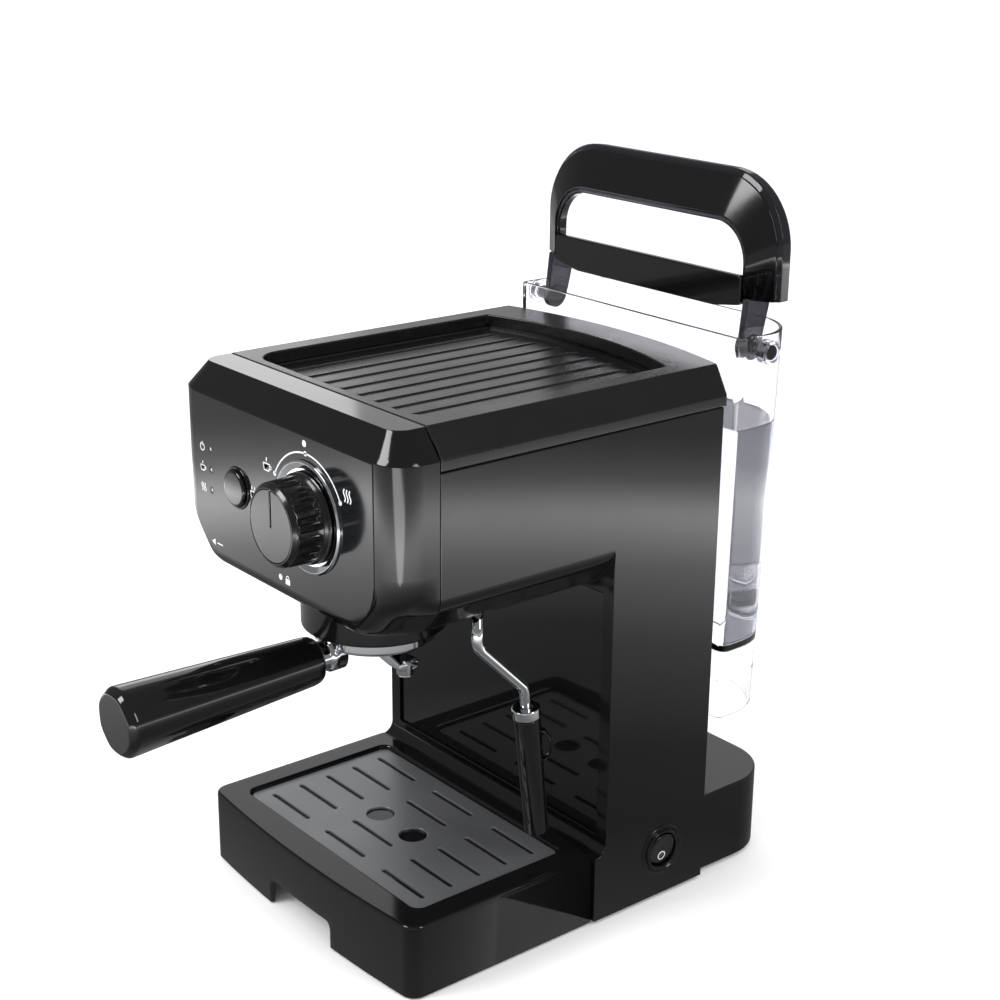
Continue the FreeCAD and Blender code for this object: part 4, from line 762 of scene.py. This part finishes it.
class ESPRESSO_OT_switch(Builder, bpy.types.Operator):
    """Power switch on the right side: turned rings about the X axis, and a round rocker that leans,
    with a printed circle and stroke on its face"""
    bl_idname = "espresso.switch"
    bl_label = "Power switch"

    def execute(self, context):
        sizes, look = settings()
        centre = (sizes.half, 144.7, 28.1)
        rim = Skin()
        rim.hoop(centre, RIGHT, [(14.0, -0.5, 0.1), (14.0, 0.5, 0.5), (12.6, 0.7, 0.6), (11.9, 0.1, 0.2),
                                 (11.3, 0.1, 0.2), (10.9, 1.3, 0.4), (9.9, 1.4, 0.3), (9.5, 0.9, 0.3),
                                 (9.5, -4.0, 0.1), (11.0, -4.0, 0.1)], 96)
        rim.lathe((sizes.half - 5.0, *centre[1:]), RIGHT, [(10.6, 0), (10.6, 1.0, 0.2), (0.2, 1.0)], 64)
        rim.make("switch_rim", look["shell"], "machine", "control_black", "switch_housing")
        lean = math.radians(8.0)
        axis = np.array((math.cos(lean), 0.0, -math.sin(lean)))
        start = np.array(centre) - 2.6 * axis
        disc = Skin()
        disc.lathe(start, axis, [(8.9, 0), (8.9, 2.9, 0.5), (7.6, 3.3, 0.6), (0.2, 2.9)], 96, None, 6)
        disc.make("rocker_disc", look["knob"], "rocker", "control_black", "power_rocker")
        sign = Skin()
        up = np.array((math.sin(lean), 0.0, math.cos(lean)))
        spot = start + 3.0 * axis - 3.6 * up
        sign.hoop(spot, axis, [(2.5, 0, 0.02), (2.5, 0.32, 0.02), (2.1, 0.32, 0.02), (2.1, 0, 0.02)], 40)
        slash = 0.8 * up + np.array((0.0, 0.6, 0.0))
        sign.lathe(spot + 0.15 * axis - 2.1 * slash, slash, [(0.22, 0), (0.22, 4.2)], 12)
        sign.make("rocker_sign", look["ink"], "rocker", "lamp_white")
        return {"FINISHED"}


# ---------------------------------------------------------------------------------------------
# Drip tray
# ---------------------------------------------------------------------------------------------
class ESPRESSO_OT_tray(Builder, bpy.types.Operator):
    """Drip tray.  Its wall is the outline seen from above, drawn up between a lower edge that rises
    over the finger notch, with quarter-circle corners, and the rim; the rim is a plate with an
    opening for the grate, over a dished basin"""
    bl_idname = "espresso.tray"
    bl_label = "Drip tray"

    def execute(self, context):
        sizes, look = settings()
        half, r, wall, deep = sizes.tray_half, 8.0, 2.5, 97.2
        rim_foot = 37.0
        notch, notch_high, notch_round = 27.5, 15.0, 4.0
        edge = notch - notch_round * (1 - np.cos(np.linspace(0, np.pi / 2, 9)))
        across = np.unique(np.concatenate([np.linspace(0, half - r, 40), edge, [notch + 0.1]]).round(3))
        across = np.concatenate([-across[:0:-1], across])

        def outline(inset):
            """Points of the outline, counterclockwise from the back right corner: straight sides
            and back, rounded front corners and the bowed front between them."""
            front = np.column_stack([across, bow(across, -15.8, -5.0, half) + inset])
            turn = np.linspace(np.pi, 1.5 * np.pi, 10)[:-1]
            bend = np.column_stack([(r - inset) * np.cos(turn) - half + r,
                                    (r - inset) * np.sin(turn) + front[0, 1] - inset + r])
            back = np.array([(half - inset, deep - inset), (inset - half, deep - inset)])
            return np.concatenate([back, bend, front, bend[::-1] * (-1, 1)])

        def ring(inset, height):
            """The outline at a height, and no lower than the tray's foot or the notch's arch."""
            points = outline(inset)
            over = (np.abs(points[:, 0]) < notch + 0.01) & (points[:, 1] < 0)
            inside = np.clip(np.abs(points[:, 0]) - (notch - notch_round), 0, notch_round)
            arch = notch_high - notch_round + np.sqrt(notch_round ** 2 - inside ** 2)
            return np.column_stack([points, np.maximum(height, np.where(over, arch, 0.8) + min(height, 0.5))])

        skin = Skin()
        skin.rings(np.array([ring(inset, height) for inset, height in (
            (wall, 0.0), (0.4, 0.0), (0.0, 0.4), (0.0, 20.0), (0.0, rim_foot))]))
        opening = rounded(rectangle(0, GRATE_Y, 76.4, 45.9, 5.0), 8)
        skin.slab("XY", outline(0.0), rim_foot, sizes.tray_high, 0.0, 1.4, [opening], steps=0)
        basin = rounded(rectangle(0, GRATE_Y, 74, 43.5, 6.0), 6)
        middle = basin.mean(0)
        levels = [(1.03, 37.2), (1.0, 36.2), (0.985, 18), (0.95, 15.2), (0.9, 14.4), (0.1, 13.8)]
        skin.rings(np.array([level(middle + (basin - middle) * s, z) for s, z in levels]), None, UP)
        hull = rounded(rectangle(0, GRATE_Y, 78, 51, 8.0, 3.0), 6)
        skin.rings(np.array([level(hull, z) for z in (2.0, 36.8)]), DOWN, UP)
        skin.make("tray", look["shell"], "drip_tray", "shell_black", "drip_tray")
        return {"FINISHED"}


class ESPRESSO_OT_grate(Builder, bpy.types.Operator):
    """Drip grate: a sheet with a rounded rim, three columns of round-ended slots and two holes"""
    bl_idname = "espresso.grate"
    bl_label = "Drip grate"

    def execute(self, context):
        _, look = settings()
        holes = [circle(x, GRATE_Y - 2, 7.4) for x in (-14.4, 14.4)]
        for column in (-1, 0, 1):
            for row in (-2, -1, 0, 1, 2):
                if (column, row) != (0, 0):
                    holes.append(rectangle(column * 50.5, GRATE_Y + row * 17.4, 17.2, 1.3, 1.25))
        skin = Skin()
        skin.slab("XY", rectangle(0, GRATE_Y, 75.9, 45.4, 5.0), 36.8, 38.0, 0.2, 0.45, holes, 6)
        skin.make("grate", look["grate"], "drip_grate", "sheet_steel", "drip_grate")
        return {"FINISHED"}


# ---------------------------------------------------------------------------------------------
# Brew group and portafilter
# ---------------------------------------------------------------------------------------------
def eight_sided(angle, radius, height):
    """A soft-edged octagon of that inner radius: one over the 12th root of the sum, over the eight
    sides, of the cosine from each side's middle to the 12th power."""
    turn = np.arange(8) * np.pi / 4
    reach = np.maximum(np.cos(angle[..., None] - turn), 0) ** 12
    return radius * (reach.sum(-1) ** (-1 / 12))


class ESPRESSO_OT_portafilter(Builder, bpy.types.Operator):
    """Portafilter: a turned bowl and neck, a spout bracket with two turned nozzles, and an
    eight-sided tapered handle with a round end"""
    bl_idname = "espresso.portafilter"
    bl_label = "Portafilter"

    def execute(self, context):
        sizes, look = settings()
        bowl = Skin()
        bowl.lathe((0, sizes.group_y, 148.5), UP,
                   [(0.2, 0), (27.5, 0, 2.5), (31, 2.0, 1.6), (31, 8.1, 0.5), (30, 8.3, 0.2), (30, 20.4, 0.4),
                    (27.6, 20.4, 0.4), (27.6, 3.2, 1.0), (0.2, 3.2)], 160)
        fall = math.radians(1.5)
        ahead = np.array((0.0, -math.cos(fall), -math.sin(fall)))
        root = np.array((0.0, -1.0, sizes.grip_high + 1.0))
        bowl.lathe(root + (0, 3.5, 0), ahead, [(9.0, -4), (9.0, 3.5, 1.5), (7.6, 5.0, 0.8), (7.6, 9.5, 0.5),
                                               (10.4, 10.2, 0.5), (10.4, 12.2, 0.4), (6.0, 12.4)], 96)
        bowl.make("bowl", look["chrome"], "portafilter", "bright_metal", "portafilter_bowl",
                  "portafilter_ferrule")
        grip = Skin()
        near, far = 12.0, 16.9
        long = (sizes.grip_end - 8.2) / math.cos(fall)
        start = np.array((0.0, -8.0, sizes.grip_high))
        grip.lathe(start, ahead, [(near - 4.5, 0), (near - 0.4, 0.1, 1.6), (near + 0.2, 4.0, 3.0),
                                  (far, long - 3.0, 4.0), (far - 2.4, long, 2.0), (0.2, long)],
                   256, eight_sided, 8)
        grip.make("handle", look["grip"], "portafilter", "face_gloss_black", "portafilter_handle")
        dress(look["chrome"], "portafilter_spout", edge=1.0)
        return {"FINISHED"}


# ---------------------------------------------------------------------------------------------
# Steam wand
# ---------------------------------------------------------------------------------------------
class ESPRESSO_OT_wand(Builder, bpy.types.Operator):
    """Steam wand: a bent tube, a bright collar, a tapered sleeve and its finger hook, a thin leaf
    whose edge bows out from the sleeve and comes back"""
    bl_idname = "espresso.wand"
    bl_label = "Steam wand"

    def execute(self, context):
        sizes, look = settings()
        lean = math.radians(6.6)
        knee = np.array((sizes.wand_x, 66.5, 134.5))
        down = np.array((0.0, math.sin(lean), -math.cos(lean)))
        tip = knee + 75.9 * down
        pipe = Skin()
        pipe.tube([(37.0, 194.0), (37.0, 164.0), tuple(knee[1:]), tuple(tip[1:])], 2.8, 32, 10.0, 12,
                  sizes.wand_x)
        pipe.make("pipe", look["chrome"], "wand", "bright_metal", "steam_pipe")
        collar = Skin()
        top = knee + 9.8 * down
        collar.hoop(top, down, [(7.2, 0, 0.8), (7.4, 5.4, 0.7), (3.0, 5.4, 0.2), (3.0, 0, 0.6)], 96)
        collar.make("collar", look["chrome"], "wand", "bright_metal", "wand_collar")
        sleeve = Skin()
        head = knee + 15.5 * down
        sleeve.hoop(head, down, [(6.9, 0.1, 0.4), (6.0, 65.8, 1.2), (3.2, 65.8, 0.6), (3.2, 0.1, 0.1)], 96, 6)
        u = np.array((0.63, 0.77, 0.0))
        side = np.cross(down, u)
        t = np.linspace(0, np.pi, 25)
        edge = head + np.outer(7.0 + 8.2 * (1 - np.cos(t)), down) + np.outer(5.4 + 5.6 * np.sin(t) ** 0.8, u)
        spine = np.gradient(edge, axis=0)
        spine /= np.linalg.norm(spine, axis=1)[:, None]
        out = np.cross(side, spine)
        turn = np.linspace(0, 2 * np.pi, 17)[:-1]
        thin, wide = 0.7, 2.4
        ring = (thin * np.cos(turn)[None, :, None] * out[:, None]
                + wide * np.sin(turn)[None, :, None] * side)
        sleeve.rings((edge[:, None] + ring)[:, ::-1], -spine[0], spine[-1])
        sleeve.make("sleeve", look["gloss"], "sleeve", "face_gloss_black", "frothing_sleeve")
        return {"FINISHED"}


# ---------------------------------------------------------------------------------------------
# Water tank
# ---------------------------------------------------------------------------------------------
def tank_ring(sizes, height, inset, steps=10):
    """The tank's outline at a height, moved inwards by inset: half width and back both widen evenly
    from the foot to the rim."""
    share = np.clip((height - sizes.tank_foot) / sizes.tank_high, 0, 1)
    half, back = 86 - 3.0 * (1 - share) - inset, 240 - 5.0 * (1 - share) - inset
    front, bend = 192.5 + inset, max(30 - inset, 1.0)
    flat = rounded([(half, front, 3.0), (half, back, bend), (-half, back, bend), (-half, front, 3.0)], steps)
    return level(flat, height)


class ESPRESSO_OT_tank(Builder, bpy.types.Operator):
    """Water tank.  One run of outlines goes down the inside of its skirt, round the foot, up the
    outside, over the rim and down the inside to the floor; two hollow bosses carry the handle"""
    bl_idname = "espresso.tank"
    bl_label = "Water tank"

    def execute(self, context):
        sizes, look = settings()
        foot, rim = sizes.tank_foot, sizes.tank_foot + sizes.tank_high
        wall, floor = 2.2, foot + 40.2
        run = [(floor - 2.2, 3.2), (floor - 3.2, wall), (foot + 0.6, wall), (foot, wall - 0.6), (foot, 0.6),
               (foot + 0.6, 0.0), (foot + 21.2, 0.0), (foot + 22, 0.5), (foot + 22.8, 0.0), (floor, 0.0),
               (rim - 14, 0.0), (rim - 0.6, 0.0), (rim, 0.6), (rim, wall - 0.6), (rim - 0.6, wall),
               (rim - 14, wall), (floor + 3, wall), (floor + 0.9, wall + 0.9), (floor, wall + 3)]
        skin = Skin()
        skin.rings(np.array([tank_ring(sizes, z, d) for z, d in run]), DOWN, UP)
        for side in (-1, 1):
            skin.hoop((side * 85.6, sizes.pivot_y, rim - 8), (side, 0, 0),
                      [(6.2, 0, 0.1), (6.2, 5.8, 0.6), (4.2, 5.8, 0.4), (4.2, 0, 0.1)], 64)
        skin.hoop((0, 213, foot + 18), UP, [(7, 0, 0.4), (7, 20, 0.1), (5, 20, 0.1), (5, 0, 0.4)], 64)
        skin.make("tank", look["clear"], "tank", "clear_plastic", "tank_vessel")
        water = Skin()
        top = sizes.water_high
        fill = [(floor + 0.05, wall + 3.0), (floor + 0.95, wall + 0.85), (floor + 3, wall - 0.05),
                (top - 1, wall - 0.05), (top, wall - 0.05), (top - 0.35, wall + 0.8),
                (top - 0.5, wall + 3.0)]
        water.rings(np.array([tank_ring(sizes, z, d) for z, d in fill]), DOWN, UP)
        water.make("tank_water", look["water"], "tank", "clear_plastic")
        return {"FINISHED"}


ARCH_WIDE = 18


def arch_line(share):
    """The handle's outline in (across, up), from its inner edge, share 0, to its outer edge, 1."""
    half, top, bend = 70 + ARCH_WIDE * share, 346 + 26 * share, 20 + ARCH_WIDE * share
    foot = 309.0
    return rounded([(half, foot), (half, top, bend), (-half, top, bend), (-half, foot)], 14, closed=False)


def arch_band(skin, corners):
    """Carries a section of (share, depth, fillet) corners along the handle's arch."""
    wide = [(ARCH_WIDE * share, depth, fillet) for share, depth, fillet in corners]
    profile = rounded(wide, 4)
    inner, outer = arch_line(0.0), arch_line(1.0)
    share = profile[:, 0] / ARCH_WIDE
    flat = inner[:, None] + share[None, :, None] * (outer - inner)[:, None]
    depth = np.broadcast_to(profile[:, 1], flat.shape[:2])
    rings = np.stack([flat[..., 0], depth, flat[..., 1]], -1)
    skin.rings(rings, DOWN, DOWN)


class ESPRESSO_OT_carrier(Builder, bpy.types.Operator):
    """Carrying handle.  A slanted section is carried along two outlines that share their corners;
    legs run down inside the tank to pins in its bosses, and a bridge ties the arms"""
    bl_idname = "espresso.carrier"
    bl_label = "Carrying handle"

    def execute(self, context):
        sizes, look = settings()
        face, rims = Skin(), Skin()
        arch_band(face, [(0.1, 205.0, 0.8), (0.1, 212.0, 0.5), (0.9, 223.0, 0.5), (0.9, 213.4, 0.8)][::-1])
        arch_band(rims, [(0.0, 206.2, 1.2), (0.0, 212.0, 1.2), (0.97, 224.0, 1.2), (1.0, 216.0, 1.2),
                         (0.88, 214.0, 0.4), (0.12, 206.4, 0.4)][::-1])
        y, z = sizes.pivot_y, 285.0
        for side in (-1, 1):
            rims.slab("YZ", [(y - 7, z, 5.0), (y + 7, z, 5.0), (222, 310, 1.0), (205, 310, 1.0)],
                      *sorted((side * 72.8, side * 76.8)), 0.8, 0.8, [], 6)
            face.lathe((side * 72.4, y, z), (side, 0, 0), [(6.6, 0, 0.1), (6.6, 4.8, 0.8), (3.9, 4.9, 0.2),
                                                           (3.9, 18.6, 0.5), (0.2, 18.7)], 64)
        bridge = [(71, 321, 2.0), (-71, 321, 2.0), (-71, 306, 2.0), (-52, 303, 6.0), (52, 303, 6.0),
                  (71, 306, 2.0)]
        face.slab("XZ", bridge, 204.6, 208.4, 0.8, 0.8, [], 6)
        face.make("carrier", look["shell"], "handle", "shell_black", "tank_handle")
        rims.make("carrier_rims", look["smoke"], "handle", "smoke_plastic")
        return {"FINISHED"}


# ---------------------------------------------------------------------------------------------
# Stage
# ---------------------------------------------------------------------------------------------
def lamp(name, place, target, size, power):
    """A rectangular soft light that the camera doesn't see, turned towards target."""
    light = bpy.data.lights.new(name, "AREA")
    light.shape = "RECTANGLE"
    light.size, light.size_y = size
    light.energy = power
    made = bpy.data.objects.new(name, light)
    bpy.context.collection.objects.link(made)
    made.location = place
    made.visible_camera = False
    made.rotation_euler = (Vector(target) - Vector(place)).to_track_quat("-Z", "Y").to_euler()


def mirrored(tree):
    """A socket that is 1 for rays thrown back by gloss, and 0 for all others, such as those that
    pass through clear plastic."""
    ray = add_node(tree, "ShaderNodeLightPath")
    back = add_node(tree, "ShaderNodeMath", operation="SUBTRACT", use_clamp=True)
    tree.links.new(ray.outputs["Is Glossy Ray"], back.inputs[0])
    tree.links.new(ray.outputs["Is Transmission Ray"], back.inputs[1])
    return back.outputs["Value"]


def studio(scene):
    """White surroundings that gloss sees dimmer, as black flags round a product table do."""
    scene.view_settings.view_transform = "Standard"
    world = bpy.data.worlds.new("studio")
    scene.world = world
    world.use_nodes = True
    tree = world.node_tree
    sky = tree.nodes["Background"]
    sky.inputs["Color"].default_value = linear("#fdfdfe")
    dim = add_node(tree, "ShaderNodeMapRange", [("To Min", 1.3), ("To Max", 0.2)])
    tree.links.new(mirrored(tree), dim.inputs["Value"])
    tree.links.new(dim.outputs["Result"], sky.inputs["Strength"])


def floor_with_painted_reflection():
    """Pale matt paint.  Gloss sees a painted reflection in its place: a glow set by the distance from the
    machine, dim close to it, in a bright pool about 0.74 m out, and dim again beyond, standing in for a small
    lit table."""
    made = surface("floor with painted reflection glow", linear("#fafafa"), 0.6, grain=0.02, grain_mm=3.0)
    tree = made.node_tree
    shader, out = tree.nodes["Principled BSDF"], tree.nodes["Material Output"]
    place = add_node(tree, "ShaderNodeTexCoord")
    reach = add_node(tree, "ShaderNodeVectorMath", operation="LENGTH")
    fade = add_node(tree, "ShaderNodeValToRGB")
    stops = fade.color_ramp.elements
    # Greys of the painted reflection glow, by distance from the machine in metres.
    painted_reflection_greys = ((0.1, 0.08), (0.2, 0.04), (0.3, 0.05), (0.47, 0.15), (0.62, 0.38), (0.74, 0.9), (0.83, 0.25),
              (0.96, 0.1))
    for stop, (metres, grey) in zip([stops[0], *(stops.new(0.5) for _ in range(6)), stops[-1]], painted_reflection_greys):
        stop.position = metres
        stop.color = (grey, grey, grey, 1.0)
    # Painted reflection: gloss sees this glow instead of the floor's own light.
    painted_reflection_glow = add_node(tree, "ShaderNodeEmission", [("Strength", 4.0)])
    mix = add_node(tree, "ShaderNodeMixShader")
    for start, end in ((place.outputs["Object"], reach.inputs[0]),
                       (reach.outputs["Value"], fade.inputs["Fac"]),
                       (fade.outputs["Color"], painted_reflection_glow.inputs["Color"]),
                       (mirrored(tree), mix.inputs["Fac"]), (shader.outputs["BSDF"], mix.inputs[1]),
                       (painted_reflection_glow.outputs["Emission"], mix.inputs[2]),
                       (mix.outputs["Shader"], out.inputs["Surface"])):
        tree.links.new(start, end)
    return made


class ESPRESSO_OT_stage(Builder, bpy.types.Operator):
    """Wide pale floor whose reflections are a painted glow, soft lights and the camera"""
    bl_idname = "espresso.stage"
    bl_label = "Stage"

    def execute(self, context):
        studio(context.scene)
        floor = bpy.data.objects.new("floor", bpy.data.meshes.new("floor"))
        far = 6
        floor.data.from_pydata([(-far, -far, 0), (far, -far, 0), (far, far, 0), (-far, far, 0)], [],
                               [(0, 1, 2, 3)])
        floor.data.materials.append(floor_with_painted_reflection())
        context.collection.objects.link(floor)
        lamp("key", (-0.6, -1.6, 1.7), (0, 0, 0.15), (1.0, 1.0), 30)
        lamp("side", (1.9, 0.4, 1.3), (0, 0, 0.15), (0.5, 1.6), 14)
        lamp("back", (-1.94, 0.84, 0.76), (0, 0, 0.28), (0.75, 0.42), 1.35)
        lamp("fill", (-1.62, 1.3, 1.0), (0, 0, 0.25), (1.6, 0.8), 2.8)
        lamp("low", (0.53, -0.63, 0.02), (0.53, -0.63, 1.0), (0.3, 0.5), 2.0)
        camera = bpy.data.cameras.new("camera")
        camera.lens = 66.23
        camera.sensor_width = 36.0
        made = bpy.data.objects.new("camera", camera)
        context.collection.objects.link(made)
        around, above, roll = (math.radians(a) for a in (50.76, 18.79, 0.58))
        right = np.array((math.cos(around), math.sin(around), 0.0))
        back = np.array((math.sin(around) * math.cos(above), -math.cos(around) * math.cos(above),
                         math.sin(above)))
        up = np.cross(back, right)
        axes = np.column_stack([math.cos(roll) * right + math.sin(roll) * up,
                                math.cos(roll) * up - math.sin(roll) * right, back])
        place = Matrix.Translation((0.6983, -0.46155 + SEAM, 0.5102))
        made.matrix_world = place @ Matrix(axes.tolist()).to_4x4()
        context.scene.camera = made
        return {"FINISHED"}


# ---------------------------------------------------------------------------------------------
# Add-on
# ---------------------------------------------------------------------------------------------
PIECES = (ESPRESSO_OT_stage, ESPRESSO_OT_casing, ESPRESSO_OT_front, ESPRESSO_OT_plate, ESPRESSO_OT_panel,
          ESPRESSO_OT_marks, ESPRESSO_OT_knob, ESPRESSO_OT_button, ESPRESSO_OT_switch, ESPRESSO_OT_tray,
          ESPRESSO_OT_grate, ESPRESSO_OT_portafilter, ESPRESSO_OT_wand, ESPRESSO_OT_tank, ESPRESSO_OT_carrier)


class ESPRESSO_PT_panel(bpy.types.Panel):
    """The machine's pieces, each with a button that builds it"""
    bl_idname = "ESPRESSO_PT_panel"
    bl_label = "Espresso machine"
    bl_space_type = "VIEW_3D"
    bl_region_type = "UI"
    bl_category = "Espresso"

    def draw(self, context):
        for group in (context.scene.espresso_sizes, context.scene.espresso_colours):
            for name in group.__annotations__:
                self.layout.prop(group, name)
        for piece in PIECES:
            self.layout.operator(piece.bl_idname)


CLASSES = (EspressoSizes, EspressoColours, *PIECES, ESPRESSO_PT_panel)


def register():
    for made in CLASSES:
        bpy.utils.register_class(made)
    bpy.types.Scene.espresso_sizes = PointerProperty(type=EspressoSizes)
    bpy.types.Scene.espresso_colours = PointerProperty(type=EspressoColours)


def unregister():
    del bpy.types.Scene.espresso_colours
    del bpy.types.Scene.espresso_sizes
    for made in reversed(CLASSES):
        bpy.utils.unregister_class(made)


def main():
    """Builds every piece."""
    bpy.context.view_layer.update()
    register()
    for piece in PIECES:
        group, name = piece.bl_idname.split(".")
        getattr(getattr(bpy.ops, group), name)()


if __name__ == "__main__":
    main()
